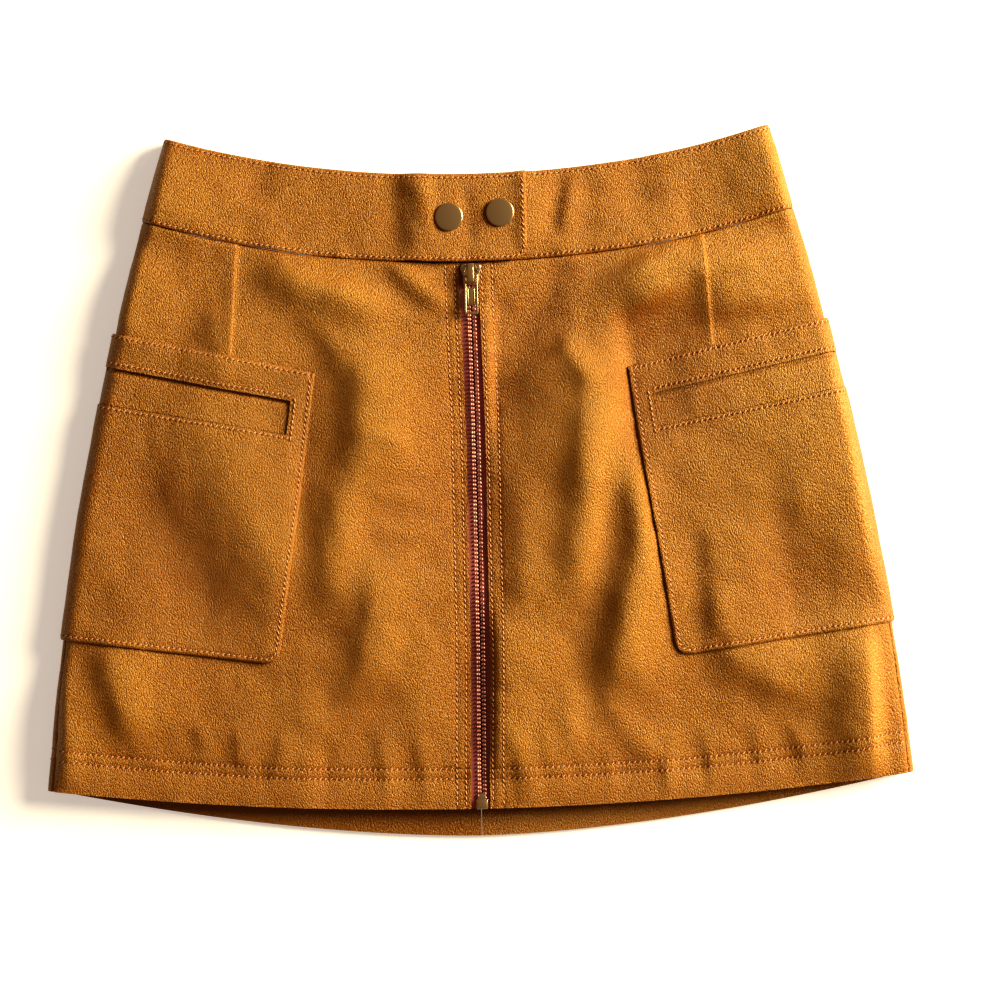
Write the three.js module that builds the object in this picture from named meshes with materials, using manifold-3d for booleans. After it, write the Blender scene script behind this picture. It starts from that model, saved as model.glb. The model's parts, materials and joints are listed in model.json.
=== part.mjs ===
// Leather mini skirt, laid flat on its back with the front up.
// Millimetres. X runs to the right, Y to the waist, Z up from the table.

import * as THREE from 'three';
import { mergeVertices } from 'three/addons/utils/BufferGeometryUtils.js';
import Module from 'manifold-3d';

// Driving sizes
const WAIST_HALF_WIDTH = 181.5;
const HEM_HALF_WIDTH = 260.8;
const WAIST_SIDE_Y = 210.6;
const HEM_SIDE_Y = -179.5;
const HIP_CURVE = 0.5;
const LAY_HEIGHT = 13.5;
const FOLD_ROLL = 8;
const BACK_ROW_POWER = 1.7;

// Angle of the side seam round the side fold, from the front, at the hem and at the waist
const SEAM_ANGLE_HEM = 33;
const SEAM_ANGLE_WAIST = 108;

// Leather and seams
const LEATHER = 1.4;
const BAND_THICKNESS = 2.6;
const BAND_RISE = 0.6;
const HEM_THICKNESS = 2.6;
const HEM_TURN_UP = 24;
const GAP = 0.3;

// Pockets
const POCKET_WALL = 1.8;
const STRIP_WALL = 0.9;
const WINDOW_INSET = 12.5;
const SLIT_OPEN = 1.4;
const POCKET_CORNER = 3;
const POCKET_BACK_ANGLE = THREE.MathUtils.degToRad(130);

// Front tab and snaps
const TAB_END_X = 35;
const UNDERLAP_END_X = -28;
const TAB_RAMP_START_X = -54;
const TAB_RAMP_LENGTH = 24;
const TAB_CORNER = 2.6;
const LAP_CELLS = 6;
const BESIDE_CELLS = 2;
const BESIDE_START_X = -44;
const BAND_SIDE_START_X = 48;
const SNAP_RADIUS = 8.4;
const SNAP_HEIGHT = 1.9;

// Zip
const ZIP_EDGE_LEFT = 5.9;
const ZIP_EDGE_RIGHT = 5.6;
const ZIP_EDGE_BOW = 1.9;
const CHAIN_HALF_WIDTH = 3.2;
const CHAIN_TOP = -0.3;
const CHAIN_DEPTH = 3.1;
const CHAIN_END_X = 0.6;
const CHAIN_BOW = 1.1;
const TAPE_THICKNESS = 0.8;
const SLIDER_X = 0.9;
const SLIDER_BOTTOM_Y = 118.2;
const SLIDER_TOP_Y = 131.4;
const PLATE_BOTTOM = 0.4;
const PLATE_THICKNESS = 1.3;
const SHOULDER_HALF_WIDTH = 6.4;
const PLATE_END_HALF_WIDTH = 4.4;
const PLATE_CORNER = 1.5;
const CORE_HALF_WIDTH = 2.9;
const BAIL_HALF_WIDTH = 2.1;
const BAIL_HALF_LENGTH = 4.6;
const BAIL_BAR = 1.3;
const BAIL_CORNER = 1.2;
const BAIL_SUNK = 0.3;
const BAIL_INSIDE_HEIGHT = 2.9;
const PIVOT_Y = 123.4;
const PULL_THICKNESS = 1.6;
const PULL_LENGTH = 23;
const PULL_TOP_HALF_WIDTH = 4;
const PULL_END_HALF_WIDTH = 4.8;
const PULL_EYE_LENGTH = 6.3;
const PULL_CLEARANCE = 0.6;
const PULL_EYE_HALF_WIDTH = 2.6;
const PULL_CORNER = 2.2;
const PULL_SLOT_TOP = 5.4;
const PULL_SLOT_BOTTOM = 1.6;
const RETAINER_TOP_Y = -190.2;
const RETAINER_HALF_WIDTH = 3.5;
const RETAINER_LENGTH = 5.8;
const RETAINER_TOP = 0.5;
const RETAINER_DEPTH = 4;

// Rows across the skirt. Each passes through the centre front, the line of the pocket's inner edge and
// the side. backY is its place at the centre back, and cells counts the steps down to the next row.
// Outside the pocket's edge a row is a bow, or a straight line where straight is 1.
const rows = table(
  ['name', 'centreY', 'edgeX', 'edgeY', 'sideY', 'backY', 'straight', 'cells'],
  [
    ['waist', 184.7, 76, 188.9, 210.6, 182.7, 0, 5],
    ['band seam', 132.2, 83.6, 137, 160.7, 130.2, 0, 6],
    ['pocket top', 66, 93.6, 67.4, 94, 62, 1, 2],
    ['slit', 46, 96.2, 48.6, 74, 42, 1, 2],
    ['strip bottom', 27, 99.1, 28.4, 52, 22, 1, 11],
    ['pocket bottom', -108.5, 119.5, -107, -89, -116, 1, 8],
    ['hem', -195.8, 132.2, -191.6, -179.5, -213.2, 0, 0],
  ],
);
const WAIST = 0;
const BAND_SEAM = 1;
const POCKET_TOP = 2;
const SLIT = 3;
const STRIP_BOTTOM = 4;
const POCKET_BOTTOM = 5;
const HEM = 6;

// Lines down each side of the skirt, from the zip round the side fold to the centre back
const lines = table(
  ['name', 'cells'],
  [
    ['zip edge', 9],
    ['pocket edge', 1],
    ['window end', 9],
    ['fold start', 3],
    ['side seam', 4],
    ['pocket back edge', 2],
    ['fold end', 5],
    ['centre back', 0],
  ],
);
const ZIP_EDGE = 0;
const POCKET_EDGE = 1;
const WINDOW_END = 2;
const FOLD_START = 3;
const SIDE_SEAM = 4;
const POCKET_BACK = 5;
const FOLD_END = 6;
const CENTRE_BACK = 7;

// Folds of the front, each along a bowed line from its upper end to its lower one. bow is how far its
// middle lies to the right of the straight line, left and right are the half widths of its two flanks,
// and height is over the lay of the leather, below it where negative.
const folds = table(
  ['name', 'fromX', 'fromY', 'toX', 'toY', 'bow', 'left', 'right', 'height'],
  [
    ['left ridge upper', -68, 92, -69, -6, 3, 15, 30, 6.5],
    ['left ridge lower', -76, 10, -87, -82, -2, 14, 14, 5],
    ['left ridge foot', -60, -38, -74, -130, 5, 13, 24, 5],
    ['left hip ridge', -124, 132, -46, 102, -1, 16, 12, 7],
    ['left hip small ridge', -44, 134, -12, 106, 0, 7, 7, 1.2],
    ['left zip hollow', -4, 78, -6, -56, 0, 34, 30, -4.5],
    ['left zip foot hollow', -6, -64, -6, -150, 0, 24, 24, -1.5],
    ['left low swell', -28, -82, -36, -166, 0, 16, 18, 2],
    ['right zip hollow', 19, 114, 15, 24, 0, 5, 28, -4.5],
    ['right broad slope', 66, 78, 60, -12, 0, 47, 10, 3],
    ['right ridge shoulder', 54, 86, 80, 58, -4, 9, 9, 3],
    ['right ridge upper', 80, 66, 57, -78, 0, 14, 12, 6.5],
    ['right gutter', 96, 104, 101, 16, 0, 9, 38, -5.5],
    ['right ridge two', 92, 14, 101, -58, 2, 12, 9, 6],
    ['right ridge two foot', 99, -42, 80, -130, 0, 14, 22, 8],
    ['right zip swell', 30, 4, 30, -84, 0, 12, 24, 3],
    ['right hip ridge', 102, 134, 116, 104, 0, 26, 30, 5.5],
    ['right yoke ridge', 156, 142, 160, 94, 0, 24, 36, 5],
    ['right hip hollow', 30, 91, 63, 131, 0, 11, 11, -2],
    ['right hem ridge', 73, -126, 110, -172, -2, 9, 10, 2],
    ['zip foot swell', 16, -75, 13, -185, 0, 8, 36, 5.5],
    ['right pocket rise', 214, 78, 236, -64, 0, 60, 6, 6],
    ['right pocket ridge', 142, -22, 145, -92, 0, 9, 26, 2.2],
    ['right pocket low hollow', 186, -14, 190, -96, 0, 16, 22, -2.5],
    ['right under pocket ridge', 140, -96, 206, -132, -4, 14, 24, 4],
    ['right side ridge', 231, -84, 233, -184, 0, 27, 9, 10],
    ['left pocket swell', -165, 60, -112, -75, 0, 24, 24, 3.5],
    ['left pocket hollow', -212, 14, -142, -102, 0, 30, 22, -3.5],
    ['left pocket top ridge', -153, 114, -147, 60, 0, 12, 40, 3],
    ['left side ridge', -222, -88, -202, -156, -2, 12, 24, 5.5],
    ['left hem swell', -108, -120, -104, -182, 0, 30, 22, 1.5],
    ['left yoke ridge', -197, 142, -213, 86, 0, 5, 28, 3],
    ['left corner ridge', -246, -104, -248, -178, 0, 5, 30, 3.5],
    ['band left swell', -179, 206, -190, 150, 0, 5, 34, 4],
    ['band left hollow', -127, 196, -128, 168, 0, 12, 12, -2],
    ['band right hollow', 102, 197, 100, 158, 0, 16, 14, -2.5],
    ['tab side hollow', 70, 186, 66, 140, 0, 10, 11, -2],
    ['band right swell', 180, 226, 192, 150, 0, 30, 4, 6],
  ],
);
const FOLD_END_SHARPNESS = 4;
const FOLD_END_SPREAD = 0.44;

const STEP = 1e-4;

function table(columns, values) {
  return values.map((value) => Object.fromEntries(columns.map((column, i) => [column, value[i]])));
}

function smooth(t) {
  const s = THREE.MathUtils.clamp(t, 0, 1);
  return s * s * (3 - 2 * s);
}

// Half width of the laid skirt where its side is at height y
function halfWidth(y) {
  const t = (WAIST_SIDE_Y - y) / (WAIST_SIDE_Y - HEM_SIDE_Y);
  return WAIST_HALF_WIDTH + (HEM_HALF_WIDTH - WAIST_HALF_WIDTH) * (t + HIP_CURVE * t * (1 - t));
}

function foldHeight(fold, x, y) {
  const alongX = fold.toX - fold.fromX;
  const alongY = fold.toY - fold.fromY;
  const length = Math.hypot(alongX, alongY);
  const s = ((x - fold.fromX) * alongX + (y - fold.fromY) * alongY) / length ** 2;
  const offLine = ((y - fold.fromY) * alongX - (x - fold.fromX) * alongY) / length;
  const off = offLine - 4 * fold.bow * s * (1 - s);
  const flank = off < 0 ? fold.left : fold.right;
  const ends = Math.exp(-(((s - 0.5) / FOLD_END_SPREAD) ** FOLD_END_SHARPNESS));
  return fold.height * ends * Math.exp(-((off / flank) ** 2));
}

// Top of the front leather over the table
function layHeight(x, y) {
  return folds.reduce((sum, fold) => sum + foldHeight(fold, x, y), LAY_HEIGHT);
}

// The row at v, where whole numbers are the rows of the table
function rowAt(v) {
  const i = Math.min(Math.floor(v), rows.length - 2);
  const mixed = (key) => THREE.MathUtils.lerp(rows[i][key], rows[i + 1][key], v - i);
  const row = { centreY: mixed('centreY'), backY: mixed('backY') };
  row.edgeX = mixed('edgeX');
  row.edgeY = mixed('edgeY');
  row.sideY = mixed('sideY');
  row.straight = mixed('straight');
  row.half = halfWidth(row.sideY);
  const edgeBend = (row.edgeY - row.centreY) / row.edgeX ** 2;
  const sideBend = (row.sideY - row.centreY) / row.half ** 2;
  row.fourth = (sideBend - edgeBend) / (row.half ** 2 - row.edgeX ** 2);
  row.second = edgeBend - row.fourth * row.edgeX ** 2;
  return row;
}

function frontY(row, x) {
  const bowed = row.centreY + row.second * x ** 2 + row.fourth * x ** 4;
  const outward = (Math.abs(x) - row.edgeX) / (row.half - row.edgeX);
  const line = THREE.MathUtils.lerp(row.edgeY, row.sideY, outward);
  return outward > 0 ? THREE.MathUtils.lerp(bowed, line, row.straight) : bowed;
}

function backY(row, x) {
  return row.backY + (row.sideY - row.backY) * (Math.abs(x) / row.half) ** BACK_ROW_POWER;
}

// A point of the front and the way out of the leather there
function frontSpot(x, v) {
  const y = frontY(rowAt(v), x);
  const slopeX = (layHeight(x + STEP, y) - layHeight(x - STEP, y)) / (2 * STEP);
  const slopeY = (layHeight(x, y + STEP) - layHeight(x, y - STEP)) / (2 * STEP);
  const normal = new THREE.Vector3(-slopeX, -slopeY, 1).normalize();
  return { point: new THREE.Vector3(x, y, layHeight(x, y)), normal };
}

// The zip bows to the right between its ends: 0 at both, 1 along its middle
function zipBow(row) {
  const t = (row.centreY - rows[HEM].centreY) / (rows[BAND_SEAM].centreY - rows[HEM].centreY);
  return smooth(3 * t) * smooth(3 * (1 - t));
}

// Distance of a line from the centre, on the front of one side
function frontX(side, u, v) {
  const row = rowAt(v);
  const zipEdge = (side < 0 ? ZIP_EDGE_LEFT : ZIP_EDGE_RIGHT) + side * ZIP_EDGE_BOW * zipBow(row);
  const places = [zipEdge, row.edgeX, row.edgeX + WINDOW_INSET, row.half - FOLD_ROLL];
  const i = Math.min(Math.floor(u), FOLD_START - 1);
  return THREE.MathUtils.lerp(places[i], places[i + 1], u - i);
}

// The side seam lies on top of the fold at the hem and turns behind it towards the band
function seamAngle(row) {
  const t = (row.sideY - HEM_SIDE_Y) / (WAIST_SIDE_Y - HEM_SIDE_Y);
  return THREE.MathUtils.degToRad(THREE.MathUtils.lerp(SEAM_ANGLE_HEM, SEAM_ANGLE_WAIST, t));
}

function skinPoint(side, u, v) {
  const row = rowAt(v);
  if (u <= FOLD_START) {
    const x = frontX(side, u, v);
    const y = frontY(row, x);
    return new THREE.Vector3(side * x, y, layHeight(side * x, y));
  }
  const start = row.half - FOLD_ROLL;
  if (u >= FOLD_END) {
    const x = start * (CENTRE_BACK - u);
    return new THREE.Vector3(side * x, backY(row, x), 0);
  }
  const angles = [0, seamAngle(row), POCKET_BACK_ANGLE, Math.PI];
  const i = Math.floor(u) - FOLD_START;
  const angle = THREE.MathUtils.lerp(angles[i], angles[i + 1], u - Math.floor(u));
  const x = start + FOLD_ROLL * Math.sin(angle);
  const y = angle < Math.PI / 2 ? frontY(row, x) : backY(row, x);
  const z = layHeight(side * x, frontY(row, x)) * (1 + Math.cos(angle)) / 2;
  return new THREE.Vector3(side * x, y, z);
}

function skinSpot(side, u, v) {
  if (u <= FOLD_START) {
    return frontSpot(side * frontX(side, u, v), v);
  }
  const uLow = skinPoint(side, u - STEP, v);
  const uHigh = skinPoint(side, Math.min(u + STEP, CENTRE_BACK), v);
  const vLow = skinPoint(side, u, Math.max(v - STEP, WAIST));
  const vHigh = skinPoint(side, u, Math.min(v + STEP, HEM));
  const normal = new THREE.Vector3().crossVectors(vHigh.sub(vLow), uHigh.sub(uLow));
  normal.multiplyScalar(side).normalize();
  return { point: skinPoint(side, u, v), normal };
}

// Moves a place on the skin by a distance along one of its two ways
function nudge(side, u, v, distance, way) {
  const here = skinPoint(side, u, v);
  const back = distance < 0 ? -1 : 1;
  const there = skinPoint(side, u + (way === 'u' ? back * STEP : 0), v + (way === 'v' ? back * STEP : 0));
  return distance * STEP / here.distanceTo(there);
}

// Places from one line or row of a table to another, with the table's cells between them
function stops(list, from, to) {
  const places = [];
  for (let i = from; i < to; i += 1) {
    for (let k = 0; k < list[i].cells; k += 1) {
      places.push(i + k / list[i].cells);
    }
  }
  places.push(to);
  return places;
}

// A closed wall between the outer and inner points of a grid. keep says which cells it has.
function wall(grid, keep = () => true) {
  const height = grid.length;
  const width = grid[0].length;
  const positions = [];
  grid.flat().forEach(({ outer }) => positions.push(...outer.toArray()));
  grid.flat().forEach(({ inner }) => positions.push(...inner.toArray()));
  const under = height * width;
  const faces = [];
  const edges = new Map();
  for (let r = 0; r < height - 1; r += 1) {
    for (let c = 0; c < width - 1; c += 1) {
      if (!keep(c, r)) {
        continue;
      }
      const ring = [r * width + c, (r + 1) * width + c, (r + 1) * width + c + 1, r * width + c + 1];
      const [a, b, d, e] = ring;
      faces.push([a, b, d], [a, d, e]);
      faces.push([under + d, under + b, under + a], [under + e, under + d, under + a]);
      ring.forEach((from, i) => edges.set(`${from},${ring[(i + 1) % 4]}`, [from, ring[(i + 1) % 4]]));
    }
  }
  edges.forEach(([from, to]) => {
    if (!edges.has(`${to},${from}`)) {
      faces.push([to, from, under + from], [to, under + from, under + to]);
    }
  });
  return closedGeometry(positions, faces);
}

// A geometry whose faces point out, whichever way its grid ran
function closedGeometry(positions, faces) {
  const corner = (i) => new THREE.Vector3().fromArray(positions, 3 * i);
  const volume = faces.reduce((sum, [a, b, c]) => sum + corner(a).dot(corner(b).cross(corner(c))), 0);
  const index = faces.flatMap(([a, b, c]) => (volume > 0 ? [a, b, c] : [a, c, b]));
  const used = [...new Set(index)].sort((a, b) => a - b);
  const place = new Map(used.map((old, i) => [old, i]));
  const geometry = new THREE.BufferGeometry();
  const kept = used.flatMap((old) => positions.slice(3 * old, 3 * old + 3));
  geometry.setAttribute('position', new THREE.Float32BufferAttribute(kept, 3));
  geometry.setIndex(index.map((old) => place.get(old)));
  geometry.computeVertexNormals();
  return geometry;
}

function offset(spot, outer, inner) {
  return {
    outer: spot.point.clone().addScaledVector(spot.normal, outer),
    inner: spot.point.clone().addScaledVector(spot.normal, inner),
  };
}

const leather = new THREE.MeshStandardMaterial({ color: 0x96531f, roughness: 0.45, metalness: 0 });
const bandLeather = new THREE.MeshStandardMaterial({ color: 0xa0591f, roughness: 0.45, metalness: 0 });
const pocketLeather = new THREE.MeshStandardMaterial({ color: 0x8c4b1b, roughness: 0.45, metalness: 0 });
const tapeCloth = new THREE.MeshStandardMaterial({ color: 0x571c20, roughness: 0.9, metalness: 0 });
const chainCoil = new THREE.MeshStandardMaterial({ color: 0x8a3a2c, roughness: 0.5, metalness: 0.1 });
const antiqueBrass = new THREE.MeshStandardMaterial({ color: 0x86613a, roughness: 0.4, metalness: 1 });

function piece(name, geometry, material) {
  const mesh = new THREE.Mesh(geometry, material);
  mesh.name = name;
  return mesh;
}

// Wall of the panels: doubled on the inside over the turned-up hem
function panelInside(v) {
  const row = rowAt(v);
  const above = row.centreY - rows[HEM].centreY;
  return above < HEM_TURN_UP ? -HEM_THICKNESS : -LEATHER;
}

function panelRows() {
  return stops(rows, BAND_SEAM, HEM);
}

// First and last places of a panel stand off its seams by half a gap
function panel(side, from, to) {
  const across = stops(lines, from, to);
  const down = panelRows();
  const grid = down.map((v, r) => across.map((u, c) => {
    let seamV = v;
    let seamU = u;
    if (r === 0) {
      seamV += nudge(side, u, v, GAP / 2, 'v');
    }
    if (c === 0 && from === SIDE_SEAM) {
      seamU += nudge(side, u, v, GAP / 2, 'u');
    }
    if (c === across.length - 1) {
      seamU += nudge(side, u, v, -GAP / 2, 'u');
    }
    return offset(skinSpot(side, seamU, seamV), 0, panelInside(v));
  }));
  return wall(grid);
}

function pocket(side) {
  const across = stops(lines, POCKET_EDGE, POCKET_BACK);
  const down = stops(rows, POCKET_TOP, POCKET_BOTTOM);
  const last = down.length - 1;
  const grid = down.map((v, r) => across.map((u, c) => {
    const cornerU = r === last && c === 0 ? u + nudge(side, u, v, POCKET_CORNER, 'u') : u;
    const cornerV = r === last && c === 0 ? v + nudge(side, u, v, -POCKET_CORNER, 'v') : v;
    return offset(skinSpot(side, cornerU, cornerV), GAP + POCKET_WALL, GAP);
  }));
  const inWindow = (c, r) => {
    const beside = across[c] >= WINDOW_END && c < across.length - 2;
    return beside && down[r] >= SLIT && down[r] < STRIP_BOTTOM;
  };
  return wall(grid, (c, r) => !inWindow(c, r));
}

// The strip fills the pocket's window but for the open slit above it
function pocketStrip(side) {
  const across = stops(lines, WINDOW_END, POCKET_BACK).slice(0, -1);
  const down = stops(rows, SLIT, STRIP_BOTTOM);
  const grid = down.map((v, r) => across.map((u, c) => {
    let inU = u;
    let inV = v;
    if (r === 0) {
      inV += nudge(side, u, v, SLIT_OPEN, 'v');
    }
    if (r === down.length - 1) {
      inV += nudge(side, u, v, -GAP, 'v');
    }
    if (c === 0) {
      inU += nudge(side, u, v, GAP, 'u');
    }
    if (c === across.length - 1) {
      inU += nudge(side, u, v, -GAP, 'u');
    }
    return offset(skinSpot(side, inU, inV), GAP + STRIP_WALL, GAP);
  }));
  return wall(grid);
}

// The tab stands over the underlap by the band's thickness and a gap
function tabRise(x) {
  return (BAND_THICKNESS + GAP) * smooth((x - TAB_RAMP_START_X) / TAB_RAMP_LENGTH);
}

function bandRows(side, u) {
  const down = stops(rows, WAIST, BAND_SEAM);
  const last = down.length - 1;
  down[last] += nudge(side, u, BAND_SEAM, -GAP / 2, 'v');
  return down;
}

// Places across the front of the band, from one x to another in even cells
function evenly(from, to, cells) {
  return Array.from({ length: cells + 1 }, (_, i) => THREE.MathUtils.lerp(from, to, i / cells));
}

// Columns of the front band: spots from the fold to the centre, each as a function of its row
function bandSide(side) {
  const across = stops(lines, ZIP_EDGE, SIDE_SEAM).filter((u) => u > 0.25);
  const last = across.length - 1;
  return across.map((u, c) => (v) => {
    const inU = c === last ? u + nudge(side, u, v, -GAP / 2, 'u') : u;
    return skinSpot(side, inU, v);
  });
}

function bandFront(side) {
  const lap = evenly(UNDERLAP_END_X, TAB_END_X, LAP_CELLS);
  const beside = side < 0 ? evenly(BESIDE_START_X, UNDERLAP_END_X, BESIDE_CELLS).slice(0, -1) : [];
  const sideColumns = bandSide(side).filter((spot) => Math.abs(spot(WAIST).point.x) > BAND_SIDE_START_X);
  const middle = [...beside, ...lap].map((x) => (v) => frontSpot(x, v));
  const columns = side < 0 ? [...sideColumns.reverse(), ...middle] : [...middle, ...sideColumns];
  const down = bandRows(side, ZIP_EDGE);
  const grid = down.map((v, r) => columns.map((spot, c) => {
    const corner = side < 0 && r === down.length - 1 && c === columns.length - 1;
    const here = corner ? frontSpot(TAB_END_X - TAB_CORNER, v - nudge(1, 0.3, v, TAB_CORNER, 'v')) : spot(v);
    const rise = BAND_RISE + (side < 0 ? tabRise(here.point.x) : 0);
    return offset(here, rise, rise - BAND_THICKNESS);
  }));
  return wall(grid);
}

function bandBack() {
  const across = stops(lines, SIDE_SEAM, CENTRE_BACK);
  const half = (side) => across.map((u, c) => (v) => {
    const inU = c === 0 ? u + nudge(side, u, v, GAP / 2, 'u') : u;
    return skinSpot(side, inU, v);
  });
  const columns = [...half(-1), ...half(1).reverse().slice(1)];
  const grid = bandRows(1, CENTRE_BACK - 0.5).map((v) => columns.map((spot) => {
    const here = spot(v);
    const rise = BAND_RISE * Math.max(0, (1 + here.normal.z) / 2);
    return offset(here, rise, rise - BAND_THICKNESS);
  }));
  return wall(grid);
}

function chainX(v) {
  return CHAIN_END_X + CHAIN_BOW * zipBow(rowAt(v));
}

// Row whose centre is at height y
function rowOf(y) {
  const i = rows.findIndex((row) => row.centreY < y) - 1;
  return i + (rows[i].centreY - y) / (rows[i].centreY - rows[i + 1].centreY);
}

function zipRows(topY, bottomY) {
  const inside = panelRows().filter((v) => rowAt(v).centreY < topY - 1 && rowAt(v).centreY > bottomY + 1);
  return [rowOf(topY), ...inside, rowOf(bottomY)];
}

function zipChain() {
  const down = zipRows(SLIDER_BOTTOM_Y - GAP, RETAINER_TOP_Y + GAP);
  const grid = down.map((v) => [-1, 0, 1].map((k) => {
    const spot = frontSpot(chainX(v) + k * CHAIN_HALF_WIDTH, v);
    const round = Math.abs(k) * 0.5;
    return offset(spot, CHAIN_TOP - round, CHAIN_TOP - CHAIN_DEPTH + round);
  }));
  return wall(grid);
}

// Each tape runs from beside the chain to one cell under the leather
function zipTape(side) {
  const down = panelRows();
  down[0] += nudge(side, ZIP_EDGE, BAND_SEAM, GAP / 2, 'v');
  const under = stops(lines, ZIP_EDGE, POCKET_EDGE).slice(0, 2);
  const grid = down.map((v) => {
    const beside = v === HEM ? RETAINER_HALF_WIDTH + 2 * GAP : CHAIN_HALF_WIDTH + GAP;
    const inner = frontSpot(chainX(v) + side * beside, v);
    const spots = [inner, ...under.map((u) => skinSpot(side, u, v))];
    const top = panelInside(v) - GAP;
    return spots.map((spot) => offset(spot, top, top - TAPE_THICKNESS));
  });
  return wall(grid);
}

function extruded(shape, depth) {
  return new THREE.ExtrudeGeometry(shape, { depth, bevelEnabled: false, curveSegments: 6 });
}

const wasm = await Module();
wasm.setup();

function solid(geometry) {
  const bare = geometry.clone();
  bare.deleteAttribute('normal');
  bare.deleteAttribute('uv');
  const merged = mergeVertices(bare, 1e-4);
  const vertProperties = merged.attributes.position.array;
  const triVerts = Uint32Array.from(merged.index.array);
  return new wasm.Manifold(new wasm.Mesh({ numProp: 3, vertProperties, triVerts }));
}

function geometryOf(manifold) {
  const { vertProperties, triVerts } = manifold.getMesh();
  const geometry = new THREE.BufferGeometry();
  geometry.setAttribute('position', new THREE.BufferAttribute(vertProperties, 3));
  geometry.setIndex(new THREE.BufferAttribute(triVerts, 1));
  geometry.computeVertexNormals();
  return geometry;
}

// Top plate over the leather edges, core between the tapes, and the bail along Y over the pull's bar.
// Y and Z are from the pivot's y and from the leather's top.
function zipSlider() {
  const bottom = SLIDER_BOTTOM_Y - PIVOT_Y;
  const top = SLIDER_TOP_Y - PIVOT_Y;
  const shield = new THREE.Shape();
  shield.moveTo(-PLATE_END_HALF_WIDTH, bottom);
  shield.lineTo(PLATE_END_HALF_WIDTH, bottom);
  shield.lineTo(PLATE_END_HALF_WIDTH, 0);
  shield.lineTo(SHOULDER_HALF_WIDTH, top / 2);
  shield.lineTo(SHOULDER_HALF_WIDTH, top - PLATE_CORNER);
  shield.lineTo(SHOULDER_HALF_WIDTH - PLATE_CORNER, top);
  shield.lineTo(PLATE_CORNER - SHOULDER_HALF_WIDTH, top);
  shield.lineTo(-SHOULDER_HALF_WIDTH, top - PLATE_CORNER);
  shield.lineTo(-SHOULDER_HALF_WIDTH, top / 2);
  shield.lineTo(-PLATE_END_HALF_WIDTH, 0);
  const plate = extruded(shield, PLATE_THICKNESS);
  plate.translate(0, 0, PLATE_BOTTOM);

  const coreDepth = CHAIN_DEPTH + PLATE_BOTTOM - CHAIN_TOP;
  const core = new THREE.BoxGeometry(2 * CORE_HALF_WIDTH, top - bottom, coreDepth + 0.2);
  core.translate(0, (top + bottom) / 2, PLATE_BOTTOM + 0.1 - coreDepth / 2);

  const arch = new THREE.Shape();
  const height = BAIL_INSIDE_HEIGHT + BAIL_BAR;
  arch.moveTo(-BAIL_HALF_LENGTH, -BAIL_SUNK);
  arch.lineTo(-BAIL_HALF_LENGTH, height - BAIL_CORNER);
  arch.lineTo(BAIL_CORNER - BAIL_HALF_LENGTH, height);
  arch.lineTo(BAIL_HALF_LENGTH - BAIL_CORNER, height);
  arch.lineTo(BAIL_HALF_LENGTH, height - BAIL_CORNER);
  arch.lineTo(BAIL_HALF_LENGTH, -BAIL_SUNK);
  arch.lineTo(BAIL_HALF_LENGTH - BAIL_BAR, -BAIL_SUNK);
  arch.lineTo(BAIL_HALF_LENGTH - BAIL_BAR, BAIL_INSIDE_HEIGHT);
  arch.lineTo(BAIL_BAR - BAIL_HALF_LENGTH, BAIL_INSIDE_HEIGHT);
  arch.lineTo(BAIL_BAR - BAIL_HALF_LENGTH, -BAIL_SUNK);
  const bail = extruded(arch, 2 * BAIL_HALF_WIDTH);
  bail.rotateX(Math.PI / 2);
  bail.rotateZ(Math.PI / 2);
  bail.translate(-BAIL_HALF_WIDTH, 0, PLATE_BOTTOM + PLATE_THICKNESS);
  return geometryOf(solid(plate).add(solid(core)).add(solid(bail)));
}

// Flat pull with an eye round the bail's near leg and a slot at its end. The origin is its pivot.
function zipPull() {
  const outline = new THREE.Shape();
  const top = PULL_THICKNESS / 2;
  const half = PULL_END_HALF_WIDTH;
  outline.moveTo(-PULL_TOP_HALF_WIDTH, top);
  outline.lineTo(-half, PULL_CORNER - PULL_LENGTH);
  outline.quadraticCurveTo(-half, -PULL_LENGTH, PULL_CORNER - half, -PULL_LENGTH);
  outline.lineTo(half - PULL_CORNER, -PULL_LENGTH);
  outline.quadraticCurveTo(half, -PULL_LENGTH, half, PULL_CORNER - PULL_LENGTH);
  outline.lineTo(PULL_TOP_HALF_WIDTH, top);
  outline.holes.push(slot(PULL_EYE_HALF_WIDTH, -top, -top - PULL_EYE_LENGTH));
  outline.holes.push(slot(PULL_EYE_HALF_WIDTH, PULL_SLOT_TOP - PULL_LENGTH, PULL_SLOT_BOTTOM - PULL_LENGTH));
  const geometry = extruded(outline, PULL_THICKNESS);
  geometry.translate(0, 0, -PULL_THICKNESS / 2);
  return geometry;
}

function slot(half, top, bottom) {
  const hole = new THREE.Path();
  hole.moveTo(-half, top);
  hole.lineTo(half, top);
  hole.lineTo(half, bottom);
  hole.lineTo(-half, bottom);
  hole.closePath();
  return hole;
}

function snapCap() {
  const profile = [
    new THREE.Vector2(0, 0),
    new THREE.Vector2(SNAP_RADIUS, 0),
    new THREE.Vector2(SNAP_RADIUS, 0.5),
    new THREE.Vector2(SNAP_RADIUS - 0.9, 1),
    new THREE.Vector2(SNAP_RADIUS - 2, 1.2),
    new THREE.Vector2(SNAP_RADIUS / 2, SNAP_HEIGHT - 0.2),
    new THREE.Vector2(0, SNAP_HEIGHT),
  ];
  const geometry = new THREE.LatheGeometry(profile, 24);
  geometry.rotateX(Math.PI / 2);
  return geometry;
}

// Highest lay of the leather under a small flat piece
function seatHeight(x, y, halfX, halfY) {
  const steps = [-1, -0.5, 0, 0.5, 1];
  const heights = steps.flatMap((i) => steps.map((k) => layHeight(x + i * halfX, y + k * halfY)));
  return Math.max(...heights);
}

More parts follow.
